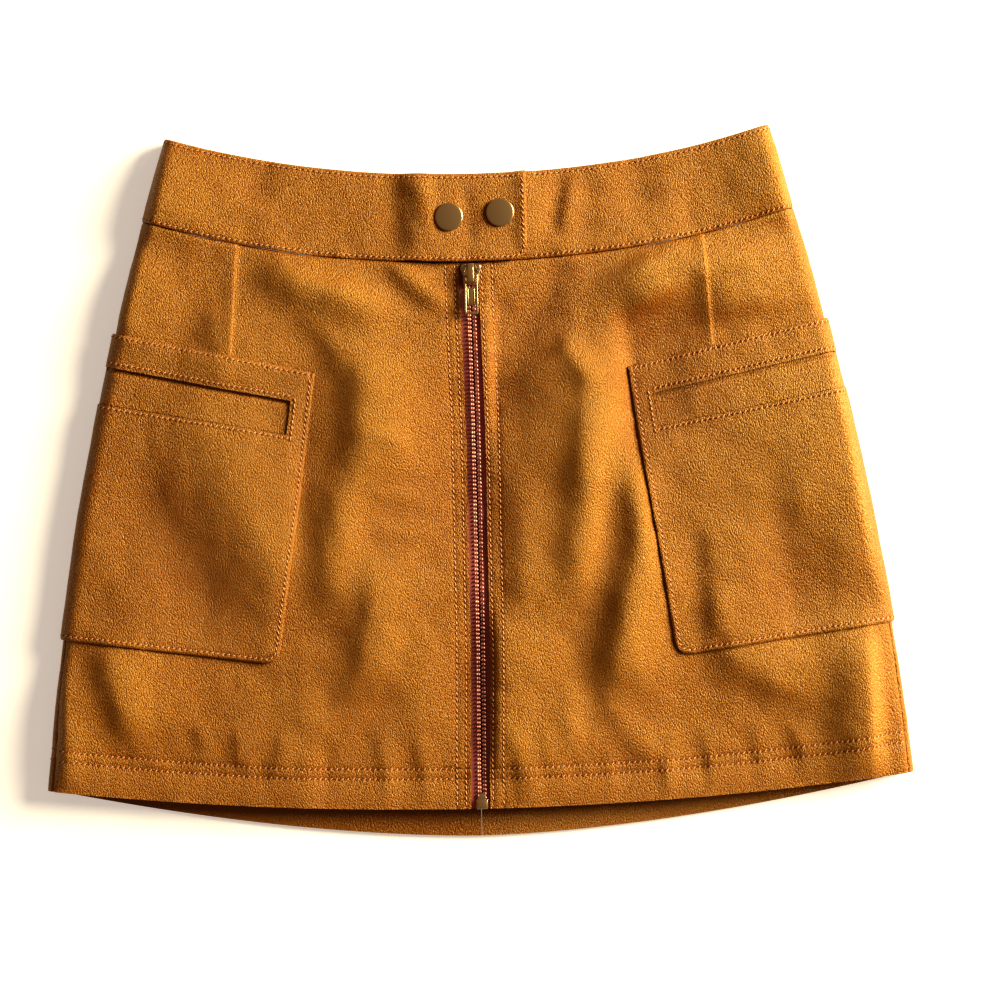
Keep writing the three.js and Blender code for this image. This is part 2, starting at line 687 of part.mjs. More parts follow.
const garment = new THREE.Group();
const sides = [
  { name: 'left', side: -1 },
  { name: 'right', side: 1 },
];
sides.forEach(({ name, side }) => {
  garment.add(piece(`front_${name}`, panel(side, ZIP_EDGE, SIDE_SEAM), leather));
  garment.add(piece(`back_${name}`, panel(side, SIDE_SEAM, CENTRE_BACK), leather));
  garment.add(piece(`pocket_${name}`, pocket(side), pocketLeather));
  garment.add(piece(`pocket_strip_${name}`, pocketStrip(side), pocketLeather));
  garment.add(piece(`waistband_front_${name}`, bandFront(side), bandLeather));
  garment.add(piece(`zip_tape_${name}`, zipTape(side), tapeCloth));
});
garment.add(piece('waistband_back', bandBack(), bandLeather));
garment.add(piece('zip_chain', zipChain(), chainCoil));

const sliderSeat = seatHeight(SLIDER_X, PIVOT_Y, SHOULDER_HALF_WIDTH, SHOULDER_HALF_WIDTH);
const slider = piece('zip_slider', zipSlider(), antiqueBrass);
slider.position.set(SLIDER_X, PIVOT_Y, sliderSeat);
garment.add(slider);

const retainer = piece(
  'zip_retainer',
  new THREE.BoxGeometry(2 * RETAINER_HALF_WIDTH, RETAINER_LENGTH, RETAINER_DEPTH),
  antiqueBrass,
);
const retainerY = RETAINER_TOP_Y - RETAINER_LENGTH / 2;
const retainerZ = layHeight(CHAIN_END_X, retainerY) + RETAINER_TOP - RETAINER_DEPTH / 2;
retainer.position.set(CHAIN_END_X, retainerY, retainerZ);
garment.add(retainer);

const snaps = [
  { name: 'snap_cap_1', x: -11.3, y: 158.9 },
  { name: 'snap_cap_2', x: 19.3, y: 160.9 },
];
snaps.forEach(({ name, x, y }) => {
  const cap = piece(name, snapCap(), antiqueBrass);
  const tabTop = BAND_RISE + BAND_THICKNESS + GAP;
  cap.position.set(x, y, seatHeight(x, y, SNAP_RADIUS, SNAP_RADIUS) + tabTop + GAP);
  garment.add(cap);
});

const pull = new THREE.Group();
const plateTop = sliderSeat + PLATE_BOTTOM + PLATE_THICKNESS;
pull.position.set(SLIDER_X, PIVOT_Y, plateTop + PULL_CLEARANCE + PULL_THICKNESS / 2);
pull.add(piece('zip_pull', zipPull(), antiqueBrass));

const group = new THREE.Group();
group.add(garment, pull);

export default group;
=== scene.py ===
import json
import math

import bmesh
import bpy
import numpy as np
from bpy.props import FloatProperty, FloatVectorProperty, IntProperty, PointerProperty
from mathutils import Matrix, Vector


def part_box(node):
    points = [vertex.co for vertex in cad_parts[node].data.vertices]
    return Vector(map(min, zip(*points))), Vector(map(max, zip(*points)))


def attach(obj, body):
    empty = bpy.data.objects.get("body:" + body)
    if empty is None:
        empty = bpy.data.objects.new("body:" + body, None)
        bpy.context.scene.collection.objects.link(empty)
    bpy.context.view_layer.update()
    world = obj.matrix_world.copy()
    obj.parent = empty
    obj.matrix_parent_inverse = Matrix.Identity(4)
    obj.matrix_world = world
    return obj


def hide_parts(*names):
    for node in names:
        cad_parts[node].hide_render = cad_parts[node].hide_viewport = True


bl_info = {
    "name": "Leather mini skirt",
    "version": (1, 0, 0),
    "blender": (4, 5, 0),
    "location": "View3D > Sidebar > Skirt",
    "description": "Builds a pebble-grain leather mini skirt, laid flat, piece by piece",
    "category": "Add Mesh",
}

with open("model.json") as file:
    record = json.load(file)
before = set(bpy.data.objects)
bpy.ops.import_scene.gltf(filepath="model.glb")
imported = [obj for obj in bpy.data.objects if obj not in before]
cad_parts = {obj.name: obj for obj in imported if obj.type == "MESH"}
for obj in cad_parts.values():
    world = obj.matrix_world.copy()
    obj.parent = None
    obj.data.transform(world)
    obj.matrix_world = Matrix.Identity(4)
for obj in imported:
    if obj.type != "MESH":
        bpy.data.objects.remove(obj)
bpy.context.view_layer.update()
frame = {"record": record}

# Sizes of the garment in millimetres: X to the right, Y to the waist, Z up from the table
MM = 0.001
WAIST_HALF_WIDTH = 181.5
HEM_HALF_WIDTH = 260.8
WAIST_SIDE_Y = 210.6
HEM_SIDE_Y = -179.5
HIP_CURVE = 0.5
LAY_HEIGHT = 13.5
FOLD_ROLL = 8.0
FOLD_ARC = 25.0
BACK_ROW_POWER = 1.7
POCKET_BACK_TURN = 130 / 180
SEAM_TURN_HEM = 33 / 180
SEAM_TURN_WAIST = 108 / 180
GAP = 0.3
BACK_SEAM_GAP = 0.30
LEATHER = 1.4
BAND_WALL = 2.6
BAND_RISE = 0.6
HEM_WALL = 2.6
HEM_TURN_UP = 24.0
POCKET_WALL = 1.8
STRIP_WALL = 0.9
WINDOW_INSET = 12.5
WINDOW_BACK_INSET = 4.0
WINDOW_MARKS = (9.9, 10.5, 11.1, 11.7, 12.5)
SLIT_OPEN = 1.6
TAB_END_X = 35.0
UNDERLAP_END_X = -28.0
TAB_RAMP_START_X = -46.0
TAB_RAMP_LENGTH = 17.0
ZIP_EDGE = {-1: 5.9, 1: 5.6}
ZIP_EDGE_BOW = 1.9
CHAIN_HALF_WIDTH = 3.2
CHAIN_END_X = 0.6
CHAIN_BOW = 1.1

# Rows across the skirt: place at the centre front, on the pocket's inner edge, at the side, at centre
# back, and 1 where the row runs straight from that edge to the side
ROW_NAMES = ("centre_y", "edge_x", "edge_y", "side_y", "back_y", "straight")
ROWS = np.array([
    (184.7, 76.0, 188.9, 210.6, 182.7, 0),
    (132.2, 83.6, 137.0, 160.7, 130.2, 0),
    (66.0, 93.6, 67.4, 94.0, 62.0, 1),
    (46.0, 96.2, 48.6, 74.0, 42.0, 1),
    (27.0, 99.1, 28.4, 52.0, 22.0, 1),
    (-108.5, 119.5, -107.0, -89.0, -116.0, 1),
    (-195.8, 132.2, -191.6, -179.5, -213.2, 0),
])
WAIST, BAND_SEAM, POCKET_TOP, SLIT, STRIP_FOOT, POCKET_FOOT, HEM = ROWS[0, 0] - ROWS[:, 0]

# Folds, each along a bowed line: from x, from y, to x, to y, bow, left and right half widths, height
FOLDS = (
    (-68, 92, -69, -6, 3, 15, 30, 6.5),
    (-76, 10, -87, -82, -2, 14, 14, 5),
    (-60, -38, -74, -130, 5, 13, 24, 5),
    (-124, 132, -46, 102, -1, 16, 12, 7),
    (-44, 134, -12, 106, 0, 7, 7, 1.2),
    (-4, 78, -6, -56, 0, 34, 30, -4.5),
    (-6, -64, -6, -150, 0, 24, 24, -1.5),
    (-28, -82, -36, -166, 0, 16, 18, 2),
    (19, 114, 15, 24, 0, 5, 28, -4.5),
    (66, 78, 60, -12, 0, 47, 10, 3),
    (54, 86, 80, 58, -4, 9, 9, 3),
    (80, 66, 57, -78, 0, 14, 12, 6.5),
    (96, 104, 101, 16, 0, 9, 38, -5.5),
    (92, 14, 101, -58, 2, 12, 9, 6),
    (99, -42, 80, -130, 0, 14, 22, 8),
    (30, 4, 30, -84, 0, 12, 24, 3),
    (102, 134, 116, 104, 0, 26, 30, 5.5),
    (156, 142, 160, 94, 0, 24, 36, 5),
    (30, 91, 63, 131, 0, 11, 11, -2),
    (73, -126, 110, -172, -2, 9, 10, 2),
    (16, -75, 13, -185, 0, 8, 36, 5.5),
    (214, 78, 236, -64, 0, 60, 6, 6),
    (142, -22, 145, -92, 0, 9, 26, 2.2),
    (186, -14, 190, -96, 0, 16, 22, -2.5),
    (140, -96, 206, -132, -4, 14, 24, 4),
    (231, -84, 233, -184, 0, 27, 9, 10),
    (-165, 60, -112, -75, 0, 24, 24, 3.5),
    (-212, 14, -142, -102, 0, 30, 22, -3.5),
    (-153, 114, -147, 60, 0, 12, 40, 3),
    (-222, -88, -202, -156, -2, 12, 24, 5.5),
    (-108, -120, -104, -182, 0, 30, 22, 1.5),
    (-197, 142, -213, 86, 0, 5, 28, 3),
    (-246, -104, -248, -178, 0, 5, 30, 3.5),
    (-179, 206, -190, 150, 0, 5, 34, 4),
    (-127, 196, -128, 168, 0, 12, 12, -2),
    (102, 197, 100, 158, 0, 16, 14, -2.5),
    (70, 186, 66, 140, 0, 10, 11, -2),
    (180, 226, 192, 150, 0, 30, 4, 6),
)

# Smaller creases between them, too fine for the solids
CREASES = (
    (-102, 102, -76, 68, 4, 8, 11, 2.2),
    (-101, 56, -105, -44, 0, 5, 7, -1.2),
    (-51, 136, -16, 106, -2, 7, 7, 2.2),
    (144, -68, 145, -98, 0, 8, 9, 1.8),
    (53, -117, 56, -168, 0, 8, 10, 1.8),
    (-245, -135, -245, -179, 0, 8, 8, 1.6),
    (34, 190, 34, 138, 0, 5, 11, 1.8),
    (57, 186, 50, 146, 0, 6, 6, -1.8),
    (64, 182, 58, 146, 0, 6, 9, 1.4),
    (-28, 186, -24, 144, 0, 11, 5, 1.8),
    (-168, -138, -163, -168, 0, 5, 8, 1.0),
    (-145, -142, -143, -170, 0, 5, 9, 1.2),
    (-118, -146, -121, -176, 0, 4, 8, 1.0),
    (-92, -150, -95, -184, 0, 6, 6, -0.8),
    (-60, -146, -54, -190, 0, 5, 9, 1.2),
    (-37, -152, -33, -190, 0, 4, 8, 1.1),
    (20, -150, 27, -188, 0, 4, 9, 1.1),
    (38, -148, 46, -188, 0, 5, 7, 0.9),
    (116, -148, 112, -184, 0, 5, 8, 1.0),
    (134, -146, 142, -182, 0, 5, 9, 1.1),
    (164, -146, 172, -180, 0, 5, 8, 1.1),
    (186, -146, 200, -178, 0, 6, 8, 1.3),
    (-2, 178, 1, 142, 0, 5, 5, -1.2),
    (-34, 178, -30, 150, 0, 5, 6, -1.0),
    (-70, 30, -40, 24, 2, 5, 5, 0.9),
    (-66, -6, -30, -12, 2, 6, 6, 0.9),
    (-60, -28, -22, -30, -2, 5, 5, 0.8),
    (22, 60, 56, 74, -2, 6, 6, 0.9),
    (120, 130, 150, 122, 0, 7, 7, 0.9),
    (-120, 60, -180, 78, 0, 7, 7, 0.8),
    (110, -172, 120, -184, 0, 6, 6, 1.0),
)
FOLD_END_SPREAD = 0.44
STITCH_LIFT = 0.16
HOLE_LIFT = 0.03
HOLE_RADIUS = 0.45
UNDERSIDE_SINK = 0.36
DART_HEAD = (139.5, 146.8)
DART_TIP = (144.5, 78.5)
DART_STEP = 0.9
DART_STEP_WIDTH = 1.1
DART_SWELL = 7.0
ROLL_WIDTH = 2.0
SEWN_DEPTH = 0.3

CENTRE_REACH = 2e-5

# Zip metal from the pull's pivot: a shoulder, half the pull's frame, and the bail's side view
LOBE = ((2.7, 7.5), (5.3, 7.2), (6.1, 6.2), (6.1, 4.4), (4.6, 2.2), (3.5, 2.2), (3.0, 4.0))
PULL_LENGTH = 23.0
RAIL = ((4.0, 0.75), (2.7, 0.6), (2.9, -21.0), (2.7, -22.4), (3.6, -23.0), (4.2, -21.8))
BAIL = (
    (-4.6, -1.7), (-4.6, 0.9), (-3.5, 2.4), (-1.6, 2.8), (1.6, 2.8), (5.2, 1.7), (7.6, 0.5), (7.9, -1.7),
    (5.4, -1.7), (4.6, 0.6), (2.6, 1.45), (-2.4, 1.45), (-3.3, 0.7), (-3.3, -1.7),
)

TOOTH_SHARE = 0.37

# Each tooth: distance from the chain's middle, half length, half height, rise
TOOTH_PARTS = (
    (1.15, 1.05, 0.75, -1.0),
    (2.2, 0.62, 0.85, -0.55),
)


class SkirtSizes(bpy.types.PropertyGroup):
    """Sizes of the sewing and the grain, in millimetres."""
    stitch_pitch: FloatProperty(
        name="Stitch pitch", description="Distance from stitch to stitch, mm", default=3.3, min=2.0, max=6.0)
    stitch_length: FloatProperty(
        name="Stitch length", description="Length of one stitch, mm", default=2.5, min=1.0, max=5.0)
    thread: FloatProperty(
        name="Thread", description="Thickness of the thread, mm", default=0.75, min=0.2, max=1.5)
    tooth_pitch: FloatProperty(
        name="Tooth pitch", description="Distance from zip tooth to zip tooth, mm", default=2.42, min=1.0, max=3.5)
    grid_step: FloatProperty(
        name="Mesh step", description="Widest step of the leather's mesh, mm", default=2.2, min=1.2, max=8.0)
    snap_radius: FloatProperty(
        name="Snap radius", description="Radius of a snap cap, mm", default=8.4, min=5.0, max=12.0)
    snap_steps: IntProperty(
        name="Snap steps", description="Steps round a snap cap", default=64, min=24, max=96)


class SkirtColours(bpy.types.PropertyGroup):
    """Colours of the skirt's finishes, linear."""
    hide: FloatVectorProperty(
        name="Leather", description="Tan leather", subtype="COLOR", size=3, default=(0.325, 0.106, 0.008))
    # Painted shade between the pebbles of the grain
    hide_grain_shade: FloatVectorProperty(
        name="Leather in the grain", description="Between the pebbles", subtype="COLOR", size=3,
        default=(0.15, 0.036, 0.002))
    thread: FloatVectorProperty(
        name="Thread", description="Tonal sewing thread", subtype="COLOR", size=3, default=(0.68, 0.33, 0.17))
    tape: FloatVectorProperty(
        name="Zip tape", description="Woven tape", subtype="COLOR", size=3, default=(0.034, 0.0050, 0.0050))
    coil: FloatVectorProperty(
        name="Zip teeth", description="Coil teeth", subtype="COLOR", size=3, default=(0.74, 0.36, 0.28))
    brass: FloatVectorProperty(
        name="Antique brass", description="Metal pieces", subtype="COLOR", size=3, default=(0.86, 0.66, 0.06))


def sizes():
    return bpy.context.scene.skirt_sizes


def colours():
    return bpy.context.scene.skirt_colours


def half_width(y):
    t = (WAIST_SIDE_Y - y) / (WAIST_SIDE_Y - HEM_SIDE_Y)
    return WAIST_HALF_WIDTH + (HEM_HALF_WIDTH - WAIST_HALF_WIDTH) * (t + HIP_CURVE * t * (1 - t))


def fold_height(fold, x, y):
    from_x, from_y, to_x, to_y, bow, left, right, height = fold
    along_x = to_x - from_x
    along_y = to_y - from_y
    length = math.hypot(along_x, along_y)
    s = ((x - from_x) * along_x + (y - from_y) * along_y) / length ** 2
    off = ((y - from_y) * along_x - (x - from_x) * along_y) / length - 4 * bow * s * (1 - s)
    flank = np.where(off < 0, left, right)
    return height * np.exp(-((s - 0.5) / FOLD_END_SPREAD) ** 4) * np.exp(-(off / flank) ** 2)


def lay_height(x, y):
    """Top of the front leather over the table."""
    total = np.full(np.shape(x), LAY_HEIGHT, dtype=float)
    for fold in FOLDS + CREASES:
        total = total + fold_height(fold, x, y)
    return total


def soft_noise(x, y, size, seed):
    """Smooth dents from -1 to 1, about one size apart."""
    lattice = np.random.default_rng(seed).uniform(-1, 1, (97, 97))
    gx = np.asarray(x) / size + 200
    gy = np.asarray(y) / size + 200
    ix = np.floor(gx).astype(int)
    iy = np.floor(gy).astype(int)
    fx = gx - ix
    fy = gy - iy
    fx = fx * fx * (3 - 2 * fx)
    fy = fy * fy * (3 - 2 * fy)
    low = lattice[ix % 97, iy % 97] * (1 - fx) + lattice[(ix + 1) % 97, iy % 97] * fx
    high = lattice[ix % 97, (iy + 1) % 97] * (1 - fx) + lattice[(ix + 1) % 97, (iy + 1) % 97] * fx
    return low * (1 - fy) + high * fy


def row_at(t):
    """The row t millimetres below the waist along the centre front."""
    depth = ROWS[0, 0] - ROWS[:, 0]
    row = {name: np.interp(t, depth, ROWS[:, i]) for i, name in enumerate(ROW_NAMES)}
    row["half"] = half_width(row["side_y"])
    edge_bend = (row["edge_y"] - row["centre_y"]) / row["edge_x"] ** 2
    side_bend = (row["side_y"] - row["centre_y"]) / row["half"] ** 2
    row["fourth"] = (side_bend - edge_bend) / (row["half"] ** 2 - row["edge_x"] ** 2)
    row["second"] = edge_bend - row["fourth"] * row["edge_x"] ** 2
    return row


def front_y(row, x):
    bowed = row["centre_y"] + row["second"] * x ** 2 + row["fourth"] * x ** 4
    outward = (np.abs(x) - row["edge_x"]) / (row["half"] - row["edge_x"])
    line = row["edge_y"] + (row["side_y"] - row["edge_y"]) * outward
    return np.where(outward > 0, bowed + (line - bowed) * row["straight"], bowed)


def back_y(row, x):
    return row["back_y"] + (row["side_y"] - row["back_y"]) * (np.abs(x) / row["half"]) ** BACK_ROW_POWER


def fold_start(t):
    return row_at(t)["half"] - FOLD_ROLL


def seam_place(t):
    """Side seam: on top of the fold at the hem, behind it at the band."""
    up = (row_at(t)["side_y"] - HEM_SIDE_Y) / (WAIST_SIDE_Y - HEM_SIDE_Y)
    return fold_start(t) + FOLD_ARC * (SEAM_TURN_HEM + (SEAM_TURN_WAIST - SEAM_TURN_HEM) * up)


def pocket_edge(t):
    return row_at(t)["edge_x"]


def pocket_back(t):
    return fold_start(t) + FOLD_ARC * POCKET_BACK_TURN


def centre_back(t):
    return 2 * fold_start(t) + FOLD_ARC


def skin(side, s, t):
    """Point of the laid skirt s millimetres from the centre front round one side, t below the waist."""
    row = row_at(t)
    start = row["half"] - FOLD_ROLL
    turn = np.clip((s - start) / FOLD_ARC, 0, 1) * math.pi
    x = np.where(s < start, s, np.where(s < start + FOLD_ARC, start + FOLD_ROLL * np.sin(turn), 2 * start + FOLD_ARC - s))
    y = np.where(turn < math.pi / 2, front_y(row, x), back_y(row, x))
    z = lay_height(side * x, front_y(row, x)) * (1 + np.cos(turn)) / 2
    return np.stack([side * x, y, z], axis=-1)


def skin_normal(side, s, t):
    step = 0.05
    across = skin(side, s + step, t) - skin(side, s - step, t)
    down = skin(side, s, t + step) - skin(side, s, t - step)
    normal = np.cross(down, across) * side
    return normal / np.linalg.norm(normal, axis=-1, keepdims=True)


def facing_up(side, s, t):
    """1 on the front, falling to 0 on the underside that lies on the table."""
    turn = np.clip((s - fold_start(t)) / FOLD_ARC, 0, 1) * math.pi
    return (1 + np.cos(turn)) / 2


def ladder(rows, reach):
    """Mesh lines beside an edge, in millimetres from it, close at the edge and at its sewing."""
    marks = [0, 0.4, 1.0, 1.8]
    for row in rows:
        marks += [row - 0.8, row - 0.35, row, row + 0.35, row + 0.8]
    marks += list(np.arange(3.6, reach, 2.2))
    kept = []
    for mark in sorted(mark for mark in marks if mark >= 0):
        near_row = any(abs(mark - row) < 0.01 for row in rows)
        if kept and mark - kept[-1] < 0.28:
            if near_row:
                kept[-1] = mark
            continue
        kept.append(mark)
    return np.array(kept)


def dart_place(t):
    """Distance of the dart from the centre front; below its tip the line runs on."""
    y = front_y(row_at(t), DART_HEAD[0])
    return DART_HEAD[0] + (DART_TIP[0] - DART_HEAD[0]) * np.clip((DART_HEAD[1] - y) / (DART_HEAD[1] - DART_TIP[1]), 0, 1)


def between(low, high, near, far, step, through=None):
    """Mesh lines from low to high, an array of them for each entry of low and high."""
    if through is not None:
        beside = np.array([0, 0.45, 1.0, 1.8])
        first = between(low, through, near, beside, step)
        return np.concatenate([first, between(through, high, beside, far, step)[:, 1:]], axis=1)
    low = np.atleast_1d(np.asarray(low, dtype=float))
    high = np.atleast_1d(np.asarray(high, dtype=float))
    inner = low + near[-1]
    outer = high - far[-1]
    cells = max(2, math.ceil(float(np.max(outer - inner)) / step))
    middle = inner[:, None] + (outer - inner)[:, None] * np.linspace(0, 1, cells + 1)[None, 1:-1]
    return np.concatenate([low[:, None] + near[None], middle, high[:, None] - far[None, ::-1]], axis=1)


class Leather:
    """One cut piece: its edges, how far it stands off the laid surface, and its sewing."""

    def __init__(self, side, inner, outer, top, foot, lift=0.0, sewing=None, rolled=(), seed=1, corner=0.0,
                 dart=None, roll=0.85):
        self.side = side
        self.inner = inner
        self.outer = outer
        self.top = top
        self.foot = foot
        self.lift = lift
        self.sewing = sewing or {}
        self.rolled = rolled
        self.seed = seed
        self.corner = corner
        self.dart = dart
        self.roll = roll

    def edge_distances(self, s, t):
        inner = s - self.inner(t)
        foot = self.foot - t
        if self.corner:
            across = self.corner - inner
            down = self.corner - foot
            inside = (across > 0) & (down > 0)
            arc = self.corner - np.hypot(across, down)
            inner = np.where(inside, np.where(across > down, arc, self.corner), inner)
            foot = np.where(inside, np.where(across > down, self.corner, arc), foot)
        return {"inner": inner, "outer": self.outer(t) - s, "top": t - self.top, "foot": foot}

    def rounded(self, s, t):
        """Draws the corner at the inner edge and the foot into an arc."""
        if not self.corner:
            return s, t
        across = self.corner - (s - self.inner(t))
        down = self.corner - (self.foot - t)
        inside = (across > 0) & (down > 0)
        reach = np.maximum(np.hypot(across, down), 1e-6)
        scale = np.where(inside, np.maximum(across, down) / reach, 1.0)
        new_s = np.where(inside, s + across * (1 - scale), s)
        new_t = np.where(inside, t - down * (1 - scale), t)
        return new_s, new_t

    def relief(self, s, t):
        spot = skin(self.side, s, t)
        x = spot[..., 0]
        y = spot[..., 1]
        up = facing_up(self.side, s, t)
        dents = 0.55 * soft_noise(x, y * 0.6, 34, 11) + 0.45 * soft_noise(x, y * 0.7, 15, 12)
        dents = dents + 0.20 * soft_noise(x, y, 7, 13 + self.seed)
        relief = dents
        distances = self.edge_distances(s, t)
        for edge, distance in distances.items():
            if edge in self.rolled:
                relief = relief - self.roll * np.clip(1 - distance / ROLL_WIDTH, 0, 1) ** 2
            for row in self.sewing.get(edge, ()):
                off = distance - row
                along = y if edge in ("inner", "outer") else x
                pucker = soft_noise(along * 1.0, off * 0.25, 4.6, 21 + self.seed)
                relief = relief - SEWN_DEPTH * np.exp(-(off / 0.75) ** 2)
                relief = relief + 0.24 * pucker * np.exp(-(off / 5.0) ** 2)
        if self.dart:
            off = s - self.dart(t)
            pinch = np.clip((y - DART_TIP[1]) / 6 + 1, 0, 1)
            right = self.side * off
            flank = np.where(right < 0, DART_SWELL, DART_STEP_WIDTH)
            relief = relief + DART_STEP * pinch * np.exp(-(right / flank) ** 2)
        return relief * up

    def surface(self, s, t):
        s, t = self.rounded(s, t)
        stand = self.lift
        if callable(stand):
            stand = stand(self.side, s) * facing_up(self.side, s, t)
        off = stand + self.relief(s, t)
        return skin(self.side, s, t) + skin_normal(self.side, s, t) * off[..., None]


def leather_mesh(name, cut, wall, window=False, thick_foot=0.0):
    """A wall of leather on a grid that follows the piece's edges, with its own map in metres.

    With window the pocket's slit and strip have their opening in it.
    """
    step = sizes().grid_step
    near_t = ladder(cut.sewing.get("top", ()), 5)
    far_t = ladder(cut.sewing.get("foot", ()), 5)
    t = between(cut.top, cut.foot, near_t, far_t, step)[0]
    near_s = ladder(cut.sewing.get("inner", ()), 5)
    far_s = ladder(cut.sewing.get("outer", ()), 5)
    if window:
        near_s = np.unique(np.concatenate([near_s, WINDOW_MARKS]))
        kept = [not any(0 < abs(place - mark) < 0.4 for mark in (SLIT, STRIP_FOOT)) for place in t]
        t = np.unique(np.concatenate([t[kept], (SLIT, STRIP_FOOT)]))
    s = between(cut.inner(t), cut.outer(t), near_s, far_s, step, cut.dart and cut.dart(t))
    rows, columns = s.shape
    t_grid = np.repeat(t[:, None], columns, axis=1)

    bm = bmesh.new()
    bmesh.ops.create_grid(bm, x_segments=columns - 1, y_segments=rows - 1, size=0.5)
    if window:
        gone = []
        for face in bm.faces:
            centre = face.calc_center_median()
            i = int((centre.x + 0.5) * (columns - 1))
            j = int((centre.y + 0.5) * (rows - 1))
            s_here = 0.5 * (s[j, i] + s[j, i + 1])
            t_here = 0.5 * (t[j] + t[j + 1])
            across = cut.inner(t_here) + WINDOW_INSET < s_here < cut.outer(t_here) - WINDOW_BACK_INSET
            if across and SLIT < t_here < STRIP_FOOT:
                gone.append(face)
        bmesh.ops.delete(bm, geom=gone, context="FACES")
    if cut.side > 0:
        bmesh.ops.reverse_faces(bm, faces=bm.faces[:])
    mesh = bpy.data.meshes.new(name)
    bm.to_mesh(mesh)
    bm.free()

    flat = np.empty(3 * len(mesh.vertices))
    mesh.vertices.foreach_get("co", flat)
    flat = flat.reshape(-1, 3)
    i = np.rint((flat[:, 0] + 0.5) * (columns - 1)).astype(int)
    j = np.rint((flat[:, 1] + 0.5) * (rows - 1)).astype(int)
    s_at = s[j, i]
    t_at = t_grid[j, i]
    points = cut.surface(s_at, t_at) * MM
    mesh.vertices.foreach_set("co", points.ravel())
    # Fold height over the lay; the leather's colour turns it into painted highlight on the ridges and painted shade in
    # the troughs
    lay = mesh.attributes.new("lay", "FLOAT", "POINT")
    skin_at = skin(cut.side, s_at, t_at)
    heights = lay_height(skin_at[:, 0], skin_at[:, 1]) - LAY_HEIGHT
    lay.data.foreach_set("value", (heights * facing_up(cut.side, s_at, t_at)).astype(np.float32))
    add_map(mesh, np.stack([cut.side * s_at, -t_at], axis=-1) * MM)

    piece = bpy.data.objects.new(name, mesh)
    bpy.context.collection.objects.link(piece)
    thick = piece.modifiers.new("wall", "SOLIDIFY")
    thick.offset = -1
    thick.thickness = wall * MM
    if thick_foot:
        thick.thickness = thick_foot * MM
        group = piece.vertex_groups.new(name="hem")
        doubled = cut.foot - t_at < HEM_TURN_UP
        group.add([int(k) for k in np.nonzero(doubled)[0]], 1.0, "REPLACE")
        group.add([int(k) for k in np.nonzero(~doubled)[0]], wall / thick_foot, "REPLACE")
        thick.vertex_group = "hem"
    return applied(piece, 50)


def add_map(mesh, places):
    uv = mesh.uv_layers.new(name="hide")
    corners = np.empty(len(mesh.loops), dtype=np.int32)
    mesh.loops.foreach_get("vertex_index", corners)
    uv.data.foreach_set("uv", places[corners].astype(np.float32).ravel())


def applied(piece, sharp_degrees):
    """Applies the piece's modifiers and shades it smooth but for its sharp edges."""
    depsgraph = bpy.context.evaluated_depsgraph_get()
    mesh = bpy.data.meshes.new_from_object(piece.evaluated_get(depsgraph))
    piece.modifiers.clear()
    old = piece.data
    piece.data = mesh
    bpy.data.meshes.remove(old)
    mesh.name = piece.name
    mesh.shade_smooth()
    mesh.set_sharp_from_angle(angle=math.radians(sharp_degrees))
    return piece


def dress(piece, material, body, nodes):
    piece.data.materials.clear()
    piece.data.materials.append(material)
    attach(piece, body)
    if nodes:
        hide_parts(*nodes)


def object_of(name, bm, smooth_degrees=35):
    mesh = bpy.data.meshes.new(name)
    bm.to_mesh(mesh)
    bm.free()
    mesh.shade_smooth()
    mesh.set_sharp_from_angle(angle=math.radians(smooth_degrees))
    piece = bpy.data.objects.new(name, mesh)
    bpy.context.collection.objects.link(piece)
    return piece


# Finishes
def node(tree, kind, **values):
    made = tree.nodes.new(kind)
    for key, value in values.items():
        if key in made.inputs:
            made.inputs[key].default_value = value
        else:
            setattr(made, key, value)
    return made


def new_material(name):
    material = bpy.data.materials.new(name)
    material.use_nodes = True
    return material, material.node_tree, material.node_tree.nodes["Principled BSDF"]


